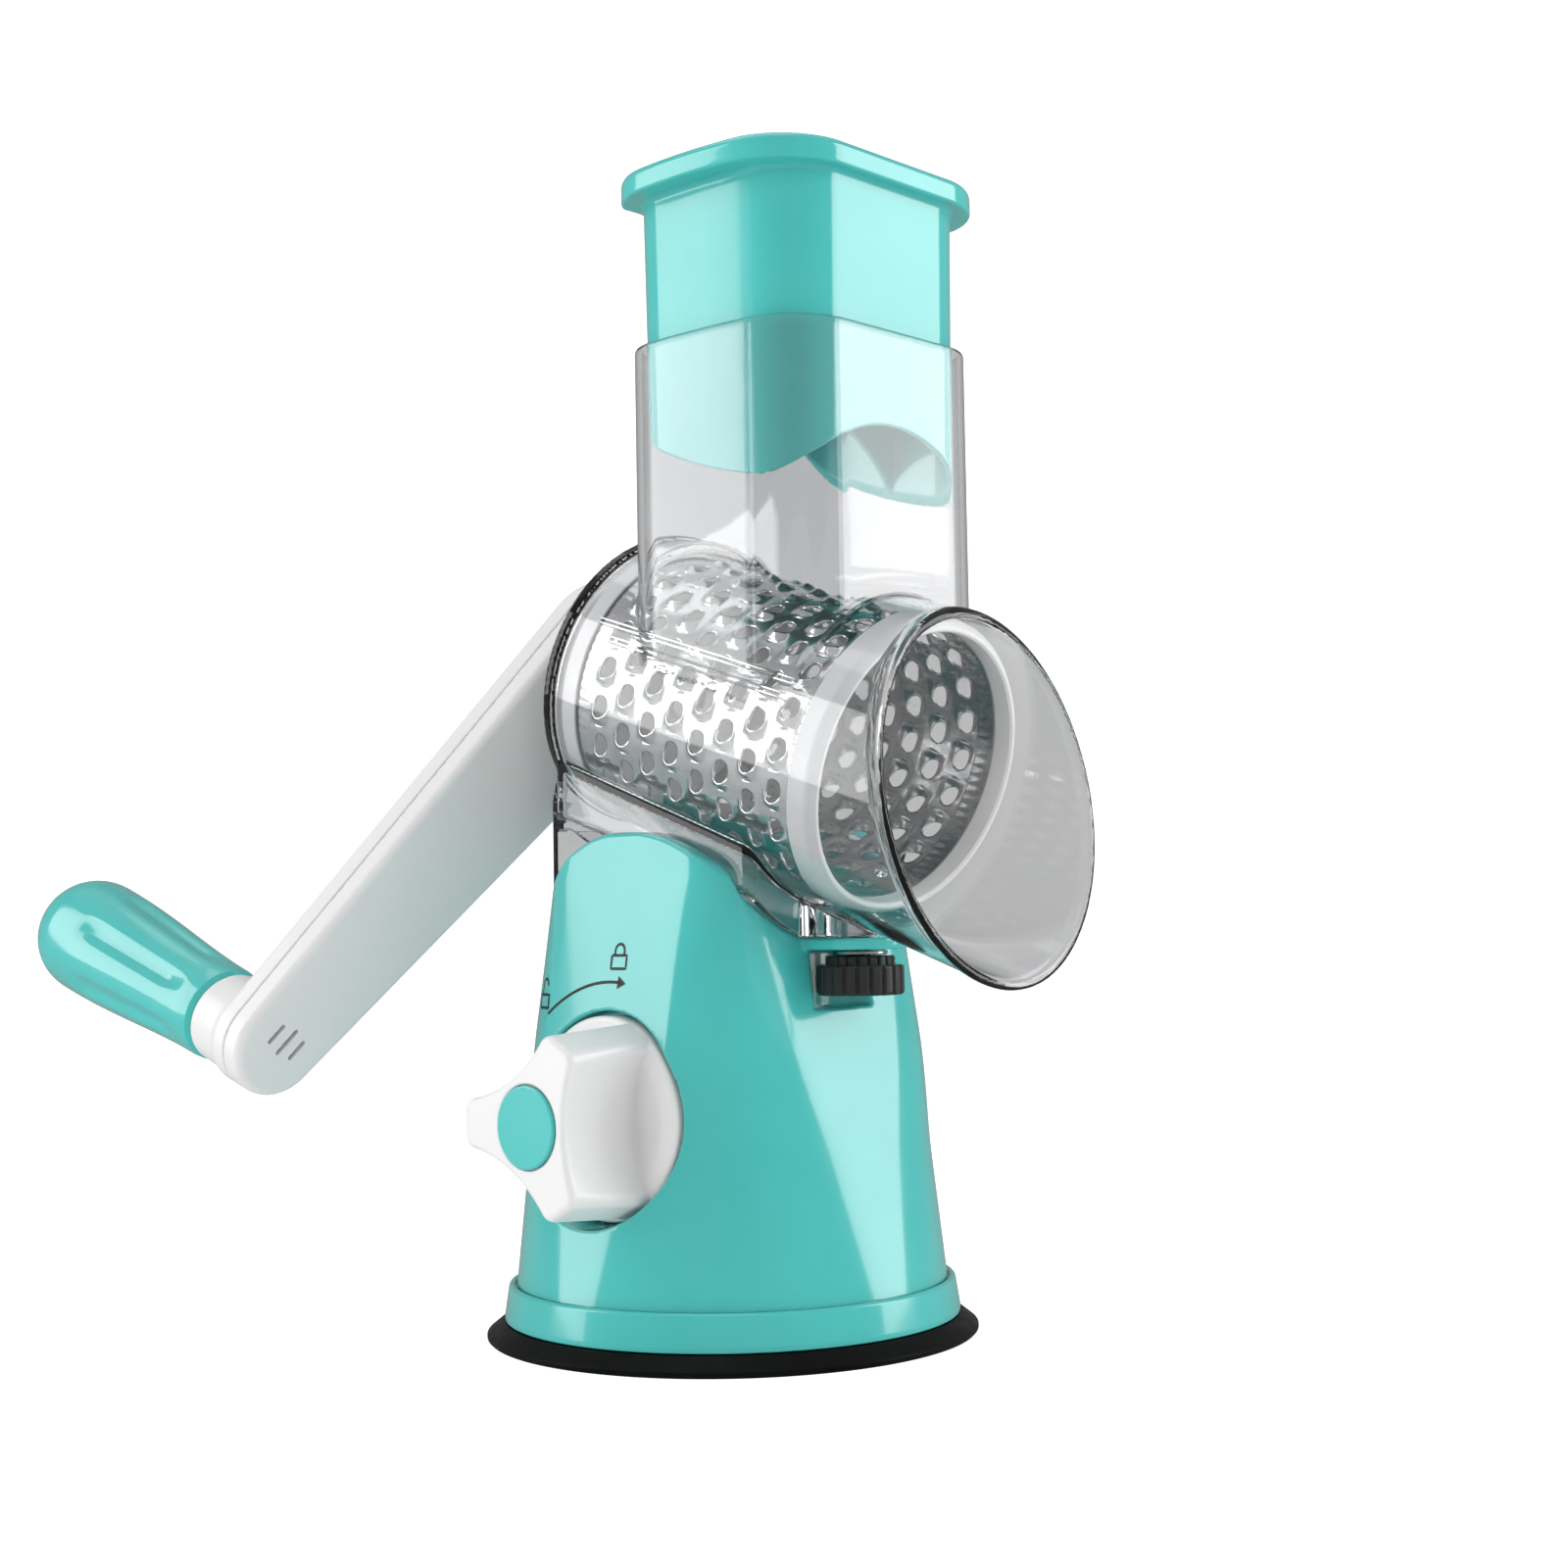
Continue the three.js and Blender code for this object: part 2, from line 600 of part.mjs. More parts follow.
function housing() {
  const chuteOuter = lofted([{ points: bowed(CHUTE), z: 150 }, { points: bowed(CHUTE), z: CHUTE_TOP }]);
  const inside = bowed(CHUTE, -CLEAR_WALL);
  const chuteInner = lofted([{ points: inside, z: 150 }, { points: inside, z: CHUTE_TOP + 5 }]);
  const chute = cut(chuteOuter, onDrumAxis(disc(30, -150, 60, 48)));
  const walls = cut(skirt(0), skirt(CLEAR_WALL).add(skirt(CLEAR_WALL).translate([0, 0, -4])));
  const rearPlate = join(box(-36.9, -34.7, -29, 29, 116, 165), box(-36.9, -32.3, -29, 29, 133, 165));
  const lug = join(
    box(37.4, CLAMP_X, -LUG_R, LUG_R, TONGUE_TOP + GAP, LUG_TOP),
    disc(LUG_R, TONGUE_TOP + GAP, LUG_TOP, 24).translate([CLAMP_X, 0, 0]),
  );
  const offBarrel = join(
    onDrumAxis(box(-80, -15, -60, 60, -200, 80)),
    onDrumAxis(box(-80, 80, -60, 60, -200, SKIRT_REAR)),
  );
  const underBarrel = cut(join(rearPlate, lug), offBarrel);
  const tongueRoom = box(20, 60, -TONGUE_HALF - 0.5, TONGUE_HALF + 0.5, 90, TONGUE_TOP + GAP);
  let body = join(barrelOuter().transform(toDrum.elements), chute, cut(join(walls, underBarrel), tongueRoom));
  body = cut(body, onDrumAxis(barrelInner()), chuteInner, beyondMouth());
  body = cut(body, onDrumAxis(disc(8.4, -105, -90, 32)));
  body = cut(body, disc(4.9, 100, 108.6, 24).translate([CLAMP_X, 0, 0]));
  return piece('housing', body, CLEAR);
}

function rearBush() {
  const body = turned([[6.3, -101.4], [10.5, -101.4], [10.5, BARREL_REAR - GAP], [8.1, BARREL_REAR - GAP],
    [8.1, -95.6], [6.3, -95.6]], 32);
  return piece('rear_bush', body, WHITE);
}

function clampInsert() {
  return piece('clamp_insert', ring(4.6, 2.8, TONGUE_TOP + 0.8, 108.3, 24).translate([CLAMP_X, 0, 0]), STEEL);
}

function ribbed(radius, depth, count, low, high) {
  const points = [];
  for (let k = 0; k < count; k += 1) {
    for (const [shift, r] of [[0, radius], [0.55, radius], [0.65, radius - depth], [0.9, radius - depth]]) {
      const t = (k + shift) * 2 * Math.PI / count;
      points.push([r * Math.cos(t), r * Math.sin(t)]);
    }
  }
  return extruded(points, low, high);
}

function clampPieces() {
  const knob = cut(
    join(ribbed(11.1, 0.6, 20, THUMB_LOW, THUMB_STEP), ribbed(8.8, 0.5, 16, THUMB_STEP - 0.3, THUMB_TOP)),
    disc(2.8, 92, 110, 20),
  );
  const holder = group(
    piece('clamp_knob', knob, BLACK),
    piece('clamp_stud', disc(2.5, 92.3, 107.6, 20), STEEL),
    piece('clamp_washer', ring(7, 3, THUMB_TOP + GAP, TONGUE_LOW - GAP, 24), STEEL),
  );
  holder.position.set(CLAMP_X, 0, 0);
  return holder;
}

// ---------------------------------------------------------------- drum
function drumShell() {
  const rear = HUB_S + 4;
  const front = -RING_LENGTH + 2.3;
  const tube = ring(DRUM_R, DRUM_R - DRUM_SHEET, rear, front, 24);
  const rows = 5;
  const perRow = 10;
  const pitch = (front - rear - 22) / (rows - 1);
  const hole = disc(4, DRUM_R - 4, DRUM_R + 4, 6).rotate([0, 90, 0]);
  const holes = [];
  for (let row = 0; row < rows; row += 1) {
    for (let k = 0; k < perRow; k += 1) {
      const turn = (k + (row % 2) / 2) * 360 / perRow;
      holes.push(hole.translate([0, 0, rear + 11 + row * pitch]).rotate([0, 0, turn]));
    }
  }
  return piece('drum_shell', cut(tube, join(...holes)), STEEL);
}

function drumFrontRing() {
  const groove = DRUM_R + GAP;
  const body = turned([
    [groove, -RING_LENGTH], [RING_R, -RING_LENGTH], [RING_R, -3.2], [37.6, -1.2], [36.3, 0], [35.7, 0],
    [35.1, -0.6], [35.1, -RING_LENGTH + 2.6], [groove, -RING_LENGTH + 2.6],
  ], 32);
  return piece('drum_front_ring', body, WHITE);
}

function drumRearHub() {
  const groove = DRUM_R + GAP;
  const body = turned([
    [0, HUB_S], [groove + 0.5, HUB_S], [groove + 0.5, HUB_S + 5.5], [groove, HUB_S + 5.5],
    [groove, HUB_S + 3.7], [34, HUB_S + 3.7], [34, HUB_S + 3], [9, HUB_S + 3], [8.4, HUB_S + 13],
    [0, HUB_S + 13],
  ], 28);
  const socket = box(-SOCKET, SOCKET, -SOCKET, SOCKET, HUB_S - 5, HUB_S + 11);
  return piece('drum_rear_hub', cut(body, socket), WHITE);
}

// ---------------------------------------------------------------- crank
// outline of the arm across the drum axis: local X is down, local Y is +Y
function armEnd() {
  return [ARM_LENGTH * Math.sin(ARM_ANGLE), -ARM_LENGTH * Math.cos(ARM_ANGLE)];
}

function armOutline(inset) {
  const [endX, endY] = armEnd();
  const big = ARM_PIVOT_R - inset;
  const small = ARM_END_R - inset;
  const heading = Math.atan2(endY, endX);
  const lean = Math.acos((big - small) / ARM_LENGTH);
  const points = [];
  const steps = 14;
  for (let k = 0; k <= steps; k += 1) {
    const t = heading - lean + 2 * lean * k / steps;
    points.push([endX + small * Math.cos(t), endY + small * Math.sin(t)]);
  }
  for (let k = 0; k <= steps; k += 1) {
    const t = heading + lean + (2 * Math.PI - 2 * lean) * k / steps;
    points.push([big * Math.cos(t), big * Math.sin(t)]);
  }
  return points;
}

function atArm(distance) {
  return [distance * Math.sin(ARM_ANGLE), -distance * Math.cos(ARM_ANGLE)];
}

function armFront() {
  const seam = ARM_SEAM + GAP / 2;
  const shaftRoom = ARM_HUB_FACE - 3.2;
  let body = cut(
    extruded(armOutline(0), seam, ARM_FACE),
    extruded(armOutline(ARM_WALL), seam - 2, ARM_FACE - ARM_WALL),
  );
  body = join(body, disc(ARM_HUB_R, seam, ARM_HUB_FACE, 24));
  for (const place of ARM_SCREWS.map(atArm)) {
    body = join(body, disc(3.6, seam, ARM_FACE - 1, 12).translate([...place, 0]));
    body = cut(body, disc(1.1, seam - 2, seam + 5, 8).translate([...place, 0]));
  }
  body = cut(
    body,
    disc(6.3, shaftRoom, -95, 32),
    box(-SOCKET, SOCKET, -SOCKET, SOCKET, ARM_BACK, shaftRoom + 1),
  );
  for (const [x, y, half] of ARM_SLOTS) {
    const slot = box(-half, half, -0.6, 0.6, ARM_FACE - 4, ARM_FACE + 2).rotate([0, 0, SLOT_LEAN]);
    body = cut(body, slot.translate([x, y, 0]));
  }
  return piece('arm_front', body, WHITE);
}

function armRear() {
  const seam = ARM_SEAM - GAP / 2;
  const [endX, endY] = armEnd();
  let body = cut(
    extruded(armOutline(0), ARM_BACK, seam),
    extruded(armOutline(ARM_WALL), ARM_BACK + ARM_WALL, seam + 2),
  );
  const boss = turned([
    [0, GRIP_NEAR + 0.4], [11.2, GRIP_NEAR + 0.4], [12.4, ARM_BACK + 1], [12.4, ARM_BACK + 3],
    [0, ARM_BACK + 3],
  ], 28);
  body = join(
    body,
    boss.translate([endX, endY, 0]),
    disc(6, ARM_BACK, seam, 24).translate([endX, endY, 0]),
    disc(ARM_HUB_R, ARM_BACK, seam, 24),
  );
  body = cut(
    body,
    disc(3.4, GRIP_NEAR - 5, seam + 1, 16).translate([endX, endY, 0]),
    disc(4.5, seam - 2.9, seam + 1, 16).translate([endX, endY, 0]),
    box(-SOCKET, SOCKET, -SOCKET, SOCKET, SOCKET_END, seam + 1),
    disc(2, ARM_BACK - 1, SOCKET_END + 1, 16),
    disc(4.4, ARM_BACK - 1, ARM_BACK + 1.6, 16),
  );
  for (const place of ARM_SCREWS.map(atArm)) {
    body = join(body, disc(3.6, ARM_BACK, seam, 12).translate([...place, 0]));
    body = cut(body, disc(1.7, ARM_BACK - 2, seam + 2, 8).translate([...place, 0]));
    body = cut(body, disc(3.2, ARM_BACK - 2, ARM_BACK + 1.6, 12).translate([...place, 0]));
  }
  return piece('arm_rear', body, WHITE);
}

function armScrews() {
  const head = ARM_BACK + 0.2;
  const tip = ARM_SEAM + 4.5;
  const screw = turned([
    [0, head], [2.8, head], [2.8, head + 1.1], [0.8, head + 1.1], [0.8, tip], [0, tip],
  ], 8);
  return repeated('arm_screw', screw, ARM_SCREWS.map(atArm));
}

function driveShaft() {
  const half = SOCKET - GAP;
  const end = SOCKET_END + GAP;
  let body = join(
    box(-half, half, -half, half, end, -104),
    disc(6, -104.5, -95.2, 32),
    box(-half, half, -half, half, -96, HUB_S + 10.6),
  );
  body = cut(body, disc(1.9, end - 1, end + 12, 16));
  return piece('drive_shaft', body, STEEL);
}

function shaftScrew() {
  const head = ARM_BACK + 0.1;
  const body = turned([[0, head], [4, head], [4, head + 1.2], [1.6, head + 1.2], [1.6, head + 13.9],
    [0, head + 13.9]], 20);
  return piece('shaft_screw', body, STEEL);
}

function gripAxle() {
  const [x, y] = armEnd();
  const head = ARM_SEAM - GAP / 2 - 2.9 + GAP;
  const groove = GRIP_BORE - 2.6;
  const tip = groove - 4;
  const body = turned([[0, tip], [3, tip], [3, groove], [2.3, groove], [2.3, groove + 2], [3, groove + 2],
    [3, head], [4.1, head], [4.1, head + 2], [0, head + 2]], 20);
  return piece('grip_axle', body.translate([x, y, 0]), STEEL);
}

function grip() {
  const [x, y] = armEnd();
  const near = GRIP_NEAR;
  const far = near - GRIP_LENGTH;
  const bottom = GRIP_BORE - 8.6;
  const profile = [
    [3.4, near], [11.6, near], [12.6, near - 1.2], [12.9, near - 4], [13.6, near - 24], [14.7, near - 44],
    [15.8, near - 60], [16.3, near - 68], [15.8, near - 74], [13.6, near - 79], [9.2, far + 0.8],
    [0, far], [0, bottom], [5.4, bottom], [5.4, GRIP_BORE], [3.4, GRIP_BORE],
  ];
  let body = turned(profile, 24);
  for (let k = 0; k < 6; k += 1) {
    const flute = disc(5.2, near - 50, near - 8, 12).translate([18.0, 0, 0]).rotate([0, 0, k * 60]);
    body = cut(body, flute);
  }
  return piece('grip', body.translate([x, y, 0]), TEAL);
}

function gripCollar() {
  const [x, y] = armEnd();
  const body = ring(5.1, 2.6, GRIP_BORE - 2.4, GRIP_BORE - 0.9, 24);
  return piece('grip_collar', body.translate([x, y, 0]), STEEL);
}

// ---------------------------------------------------------------- pusher
function pusherShell(inset, bottom, top) {
  return lofted([
    { points: bowed(PUSHER, -inset), z: bottom },
    { points: bowed(PUSHER, -inset), z: PUSHER_STRAIGHT_TOP },
    { points: bowed(PUSHER_TOP, -inset), z: top },
  ]);
}

function pusher() {
  const bottom = 150;
  const plate = PUSHER_FLANGE_TOP - 3;
  const outer = pusherShell(0, bottom, PUSHER_FLANGE_LOW + 1);
  const ribs = join(
    box(CHUTE_X - 31, CHUTE_X + 31, -1, 1, bottom, plate + 0.5),
    box(CHUTE_X - 1, CHUTE_X + 1, -37, 37, bottom, plate + 0.5),
  ).intersect(outer);
  const flange = lofted([
    { points: bowed(PUSHER_FLANGE, -0.8), z: PUSHER_FLANGE_LOW },
    { points: bowed(PUSHER_FLANGE), z: PUSHER_FLANGE_LOW + 0.8 },
    { points: bowed(PUSHER_FLANGE), z: PUSHER_FLANGE_TOP - 1.6 },
    { points: bowed(PUSHER_FLANGE, -1.2), z: PUSHER_FLANGE_TOP - 0.5 },
    { points: bowed(PUSHER_FLANGE, -3), z: PUSHER_FLANGE_TOP },
  ]);
  const arch = join(
    onDrumAxis(disc(PUSHER_ARCH_R, -200, 120, 48)),
    onDrumAxis(box(0, 120, -90, 90, -220, 120)),
  ).translate([0, 0, PUSHER_ARCH_LIFT]);
  const armPath = onDrumAxis(box(-200, 200, -60, 60, -300, ARM_FACE + PUSHER_PASS));
  const room = pusherShell(CLEAR_WALL, bottom - 5, plate);
  const body = cut(join(cut(join(outer, flange), room), ribs), arch, armPath);
  return piece('pusher', body, TEAL);
}

// ---------------------------------------------------------------- assembly
const grater = group(
  baseShell(),
  bottomPlate(),
  baseScrews(),
  suctionPad(),
  mechanismBracket(),
  bracketScrews(),
  pullRod(),
  padButton(),
  springSeat(),
  returnSpring(),
  knobPieces(),
  knobBush(),
  housing(),
  clampInsert(),
  clampPieces(),
  drumGroup(rearBush(), drumShell(), drumFrontRing(), drumRearHub()),
  drumGroup(armFront(), armRear(), armScrews(), driveShaft(), shaftScrew(), gripAxle(), grip(), gripCollar()),
  pusher(),
);

export default grater;
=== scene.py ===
"""A rotary drum grater on a suction base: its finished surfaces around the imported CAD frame.

Lengths are in millimetres in the frame's own axes, and are turned into metres when a mesh is made.
Moulded shapes are distance fields (negative inside) that a surface net turns into meshes with true
fillets; turned shapes are profiles spun round an axis.
"""
import json
import math

import bmesh
import bpy
import numpy as np
from mathutils import Matrix, Vector


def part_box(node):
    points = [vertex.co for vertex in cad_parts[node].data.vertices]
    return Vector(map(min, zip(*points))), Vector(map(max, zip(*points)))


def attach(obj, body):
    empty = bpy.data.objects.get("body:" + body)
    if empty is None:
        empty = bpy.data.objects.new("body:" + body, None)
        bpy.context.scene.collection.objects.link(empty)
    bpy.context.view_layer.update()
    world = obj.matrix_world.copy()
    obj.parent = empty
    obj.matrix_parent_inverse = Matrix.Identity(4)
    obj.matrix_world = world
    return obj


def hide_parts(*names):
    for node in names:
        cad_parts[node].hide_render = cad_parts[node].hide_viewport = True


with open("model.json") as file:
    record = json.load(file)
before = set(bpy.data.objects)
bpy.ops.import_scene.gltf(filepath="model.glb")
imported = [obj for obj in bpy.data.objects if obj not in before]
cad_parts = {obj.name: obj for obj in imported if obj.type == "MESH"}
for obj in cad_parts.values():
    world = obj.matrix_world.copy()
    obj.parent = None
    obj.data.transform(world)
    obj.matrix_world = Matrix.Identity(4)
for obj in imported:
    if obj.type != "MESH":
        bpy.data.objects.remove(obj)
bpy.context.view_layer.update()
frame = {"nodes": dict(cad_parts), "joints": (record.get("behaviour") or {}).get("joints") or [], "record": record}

MM = 0.001
JOINTS = {joint["name"]: joint for joint in frame["joints"]}


def node_box(node):
    low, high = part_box(node)
    return np.array(low) / MM, np.array(high) / MM


# ------------------------ driving dimensions
WALL = 2.5                                    # base shell
CLEAR_WALL = 2.0                              # clear housing
BODY_LOW = node_box("base_shell")[0][2]
BODY_TOP = 131.0
BODY_LOW_R = 56.8
BODY_TOP_X, BODY_TOP_Y, BODY_TOP_CORNER = 31.0, 36.0, 7.0
FACET_X, FACET_CORNER = 22.6, 12.0            # the flat Y faces: half width, least corner radius
SCREW_REACH = 36.0                            # X and Y of the four screws of the bottom plate
BRACKET_X, BRACKET_Y = 23.0, 7.0              # the four screws of the mechanism bracket
EAR_TOP = node_box("base_shell")[1][2]
EAR_Y = 31.3                                  # inner faces of the two ears
SEAT_R, SEAT_DROP = 46.0, 4.0                 # saddle: a cylinder under the drum axis

DRUM_X, DRUM_Y, DRUM_Z = (v / MM for v in JOINTS["crank_turn"]["pos_m"])
AXIS = JOINTS["crank_turn"]["axis"]
TILT = math.atan2(-AXIS[2], AXIS[0])
COS_TILT, SIN_TILT = math.cos(TILT), math.sin(TILT)
DRUM_R, DRUM_SHEET = 35.5, 0.6
RING_R, RING_LENGTH = 38.4, 8.2
HUB_S = -94.0                                 # rear face of the drum's hub along the axis

BARREL_REAR, BARREL_REAR_R = -98.7, 38.9
BARREL_FRONT, BARREL_FRONT_R = 44.0, 42.3
MOUTH_X, MOUTH_Z, MOUTH_LEAN = 89.2, 140.0, math.radians(7.6)
CHUTE_X = 30.0
CHUTE = (33.3, 36.7, 2.6, 16.4)               # half widths along X and Y, bow of the Y sides, corner radius
CHUTE_TOP = node_box("housing")[1][2]
PUSHER = (29.7, 33.1, 2.6, 13.5)
PUSHER_GROWTH = 1.2
PUSHER_FLANGE = (34.8, 40.0, 4.0, 18.5)
PUSHER_TOP = node_box("pusher")[1][2]
FLANGE_DEPTH = 6.5
ARCH_R, ARCH_LIFT = 42.0, 40.4                # the pusher's arched underside, and its height over the drum

CLAMP_X = 46.5
TONGUE_LOW, TONGUE_TOP = 100.3, 103.3
POCKET_R, POCKET_LOW = 12.6, 85.5             # room in the base for the thumb knob and its travel
KNOB_Z = JOINTS["knob_turn"]["pos_m"][2] / MM
RECESS_R, RECESS_Y = 27.0, -39.5
KNOB_R, KNOB_DISC_Y = 25.8, -46.0
KNOB_FACE_Y = node_box("knob")[0][1]
KNOB_REACH, KNOB_TIP, KNOB_WAIST = 23.5, 6.0, 13.2

ARM_FACE, ARM_DEPTH = -112.0, 13.0
ARM_BACK, ARM_SEAM = ARM_FACE - ARM_DEPTH, ARM_FACE - ARM_DEPTH / 2
ARM_LENGTH, ARM_ANGLE = 141.1, math.radians(49.6)
ARM_PIVOT_R, ARM_END_R, ARM_WALL = 22.6, 13.4, 2.2
ARM_SCREWS = (32.0, 118.0)
ARM_SLOTS = ((103.5, -93.7, 2.5), (105.85, -90.0, 3.5), (108.3, -86.5, 2.5))
SLOT_LEAN, SLOT_HALF = math.radians(-40.4), 0.62
SOCKET_END = ARM_BACK + 2.4
GRIP_NEAR = -137.0
GRIP_BORE = GRIP_NEAR - 65.4
PUSHER_PASS = 1.5                             # the arm passes this close behind the pusher's top
ARM_END = (ARM_LENGTH * math.sin(ARM_ANGLE), -ARM_LENGTH * math.cos(ARM_ANGLE))


# ------------------------ places
def along(x, z):
    """Distance along the drum axis, from the drum's open end towards the mouth."""
    return (x - DRUM_X) * COS_TILT - (z - DRUM_Z) * SIN_TILT


def down(x, z):
    """Distance across the drum axis, downwards."""
    return -(x - DRUM_X) * SIN_TILT - (z - DRUM_Z) * COS_TILT


# local Z runs along the drum axis, local X points down and local Y stays
ON_DRUM_AXIS = Matrix.Translation((DRUM_X, DRUM_Y, DRUM_Z)) @ Matrix.Rotation(math.pi / 2 + TILT, 4, "Y")
ON_KNOB_AXIS = Matrix.Translation((0, 0, KNOB_Z)) @ Matrix.Rotation(-math.pi / 2, 4, "X")
ON_CLAMP_AXIS = Matrix.Translation((CLAMP_X, 0, 0))
ON_GRIP_AXIS = ON_DRUM_AXIS @ Matrix.Translation((*ARM_END, 0))
UPRIGHT = Matrix.Identity(4)


# ------------------------ distance fields
def both(a, b, r=0.0):
    """What two fields share, with an edge of radius r."""
    if r == 0:
        return np.maximum(a, b)
    return np.minimum(-r, np.maximum(a, b)) + np.hypot(np.maximum(a + r, 0), np.maximum(b + r, 0))


def either(a, b, r=0.0):
    """The union of two fields, with a fillet of radius r."""
    return -both(-a, -b, r)


def without(a, b, r=0.0):
    return both(a, -b, r)


def slab(v, low, high):
    return np.abs(v - (low + high) / 2) - (high - low) / 2


def block(x, y, z, spans, r=0.0):
    field = both(slab(x, *spans[0]), slab(y, *spans[1]), r)
    return both(field, slab(z, *spans[2]), r)


def rounded_box(x, y, half_x, half_y, r):
    ax = np.abs(x) - (half_x - r)
    ay = np.abs(y) - (half_y - r)
    return np.hypot(np.maximum(ax, 0), np.maximum(ay, 0)) + np.minimum(np.maximum(ax, ay), 0) - r


def bowed_box(x, y, half_x, half_y, bow, r):
    """Rounded box about the chute's centre line, with its Y sides bowed out."""
    across = x - CHUTE_X
    swell = bow * np.maximum(1 - (across / half_x) ** 2, 0)
    return rounded_box(across, np.maximum(np.abs(y) - swell, 0), half_x, half_y, r)


def lerp(a, b, t):
    return a + (b - a) * t


# ------------------------ meshes
def show(name, mesh):
    piece = bpy.data.objects.new(name, mesh)
    bpy.context.scene.collection.objects.link(piece)
    return piece


def mesh_of(name, points, faces, normals=None):
    """Mesh in metres from points in millimetres, with smooth shading that keeps broad faces flat."""
    mesh = bpy.data.meshes.new(name)
    mesh.from_pydata((np.asarray(points) * MM).tolist(), [], faces)
    mesh.polygons.foreach_set("use_smooth", np.ones(len(mesh.polygons), bool))
    if normals is None:
        normals = broad_normals(mesh)
    mesh.normals_split_custom_set_from_vertices(normals)
    return mesh


def built(name, verts, faces, place=UPRIGHT):
    """A piece from points in millimetres, moved to its place."""
    return show(name, mesh_of(name, [tuple(place @ Vector(v)) for v in verts], faces))


def ring_quads(base, count, rings=2):
    """Quads between neighbouring rings of that many points, numbered one after another."""
    lows = [base + ring * count for ring in range(rings - 1)]
    turns = [(k, (k + 1) % count) for k in range(count)]
    return [(low + k, low + n, low + count + n, low + count + k) for low in lows for k, n in turns]


def broad_normals(mesh):
    """Vertex normals weighted by the area of the faces around each vertex."""
    count = len(mesh.polygons)
    area = np.empty(count)
    normal = np.empty(count * 3)
    size = np.empty(count, int)
    corner = np.empty(len(mesh.loops), int)
    mesh.polygons.foreach_get("area", area)
    mesh.polygons.foreach_get("normal", normal)
    mesh.polygons.foreach_get("loop_total", size)
    mesh.loops.foreach_get("vertex_index", corner)
    weighted = np.repeat(normal.reshape(-1, 3) * area[:, None], size, axis=0)
    total = np.stack([np.bincount(corner, weighted[:, k], len(mesh.vertices)) for k in range(3)], axis=1)
    return total / np.maximum(np.linalg.norm(total, axis=1, keepdims=True), 1e-12)


def gradient(field, points, reach=0.02):
    x, y, z = points.T
    return np.stack([
        field(x + reach, y, z) - field(x - reach, y, z),
        field(x, y + reach, z) - field(x, y - reach, z),
        field(x, y, z + reach) - field(x, y, z - reach),
    ], axis=1) / (2 * reach)


def settled(field, points, limit, rounds=4):
    """Points moved onto the field's surface."""
    for _ in range(rounds):
        slope = gradient(field, points)
        level = field(*points.T)
        move = slope * (level / np.maximum((slope ** 2).sum(1), 0.05))[:, None]
        length = np.linalg.norm(move, axis=1, keepdims=True)
        points = points - move * np.minimum(1, limit / np.maximum(length, 1e-9))
    return points


def lattice(low, high, step, fine):
    """Lattice lines along each axis, closer together inside the fine box (low corner, high corner, step)."""
    ticks = [np.arange(a, b + step, step) for a, b in zip(low, high)]
    if fine:
        for axis, (start, end) in enumerate(zip(*fine[:2])):
            line = ticks[axis]
            inner = np.arange(start, end, fine[2])
            ticks[axis] = np.concatenate([line[line < start - step / 3], inner, line[line > end + step / 3]])
    return [line.astype(np.float32) for line in ticks]


def net(field, ticks):
    """Surface net: one point in each lattice cell that the surface crosses, a quad for each crossed edge."""
    values = field(*np.meshgrid(*ticks, indexing="ij", sparse=True))
    inside = values < 0
    near = [slice(0, -1), slice(1, None)]
    corners = [inside[i, j, k] for i in near for j in near for k in near]
    crossed = np.logical_or.reduce(corners) & ~np.logical_and.reduce(corners)
    number = np.full(crossed.shape, -1)
    cells = np.argwhere(crossed)
    number[crossed] = np.arange(len(cells))
    middles = [((t[1:] + t[:-1]) / 2)[cells[:, axis]] for axis, t in enumerate(ticks)]
    points = np.stack(middles, axis=1).astype(float)
    quads = []
    for axis in range(3):
        first, second = (np.moveaxis(inside, axis, 0)[part][:, 1:-1, 1:-1] for part in near)
        at = np.argwhere(first != second)
        outward = first[tuple(at.T)]
        ring = []
        for du, dv in ((0, 0), (1, 0), (1, 1), (0, 1)):
            cell = np.moveaxis(number, axis, 0)[at[:, 0], at[:, 1] + du, at[:, 2] + dv]
            ring.append(cell)
        quad = np.stack(ring, axis=1)
        quads.append(np.where(outward[:, None] ^ (axis == 1), quad, quad[:, ::-1]))
    return points, np.concatenate(quads)


def relaxed(points, quads):
    """Each point moved to the middle of its neighbours along the quads' edges."""
    count = len(points)
    start = quads.ravel()
    end = np.roll(quads, -1, axis=1).ravel()
    total = np.stack([np.bincount(start, points[end, k], count) + np.bincount(end, points[start, k], count)
                      for k in range(3)], axis=1)
    share = np.bincount(start, minlength=count) + np.bincount(end, minlength=count)
    return total / np.maximum(share, 1)[:, None]


def grown(name, node, field, step=1.0, keep=0.4, fine=None):
    """A moulded piece in the box of its CAD node: a distance field's surface, thinned where it is flat."""
    low, high = node_box(node)
    points, quads = net(field, lattice(low - 1.5 * step, high + 1.5 * step, step, fine))
    points = settled(field, points, step)
    points = settled(field, lerp(points, relaxed(points, quads), 0.6), step, 2)
    piece = show(name, mesh_of(name, points, quads.tolist(), gradient(field, points)))
    thin = piece.modifiers.new("thin", "DECIMATE")
    thin.ratio = keep
    mesh = applied(piece)
    points = np.empty(len(mesh.vertices) * 3)
    mesh.vertices.foreach_get("co", points)
    points = settled(field, points.reshape(-1, 3) / MM, step / 4, 2)
    mesh.vertices.foreach_set("co", (points * MM).ravel())
    mesh.normals_split_custom_set_from_vertices(gradient(field, points))
    return piece


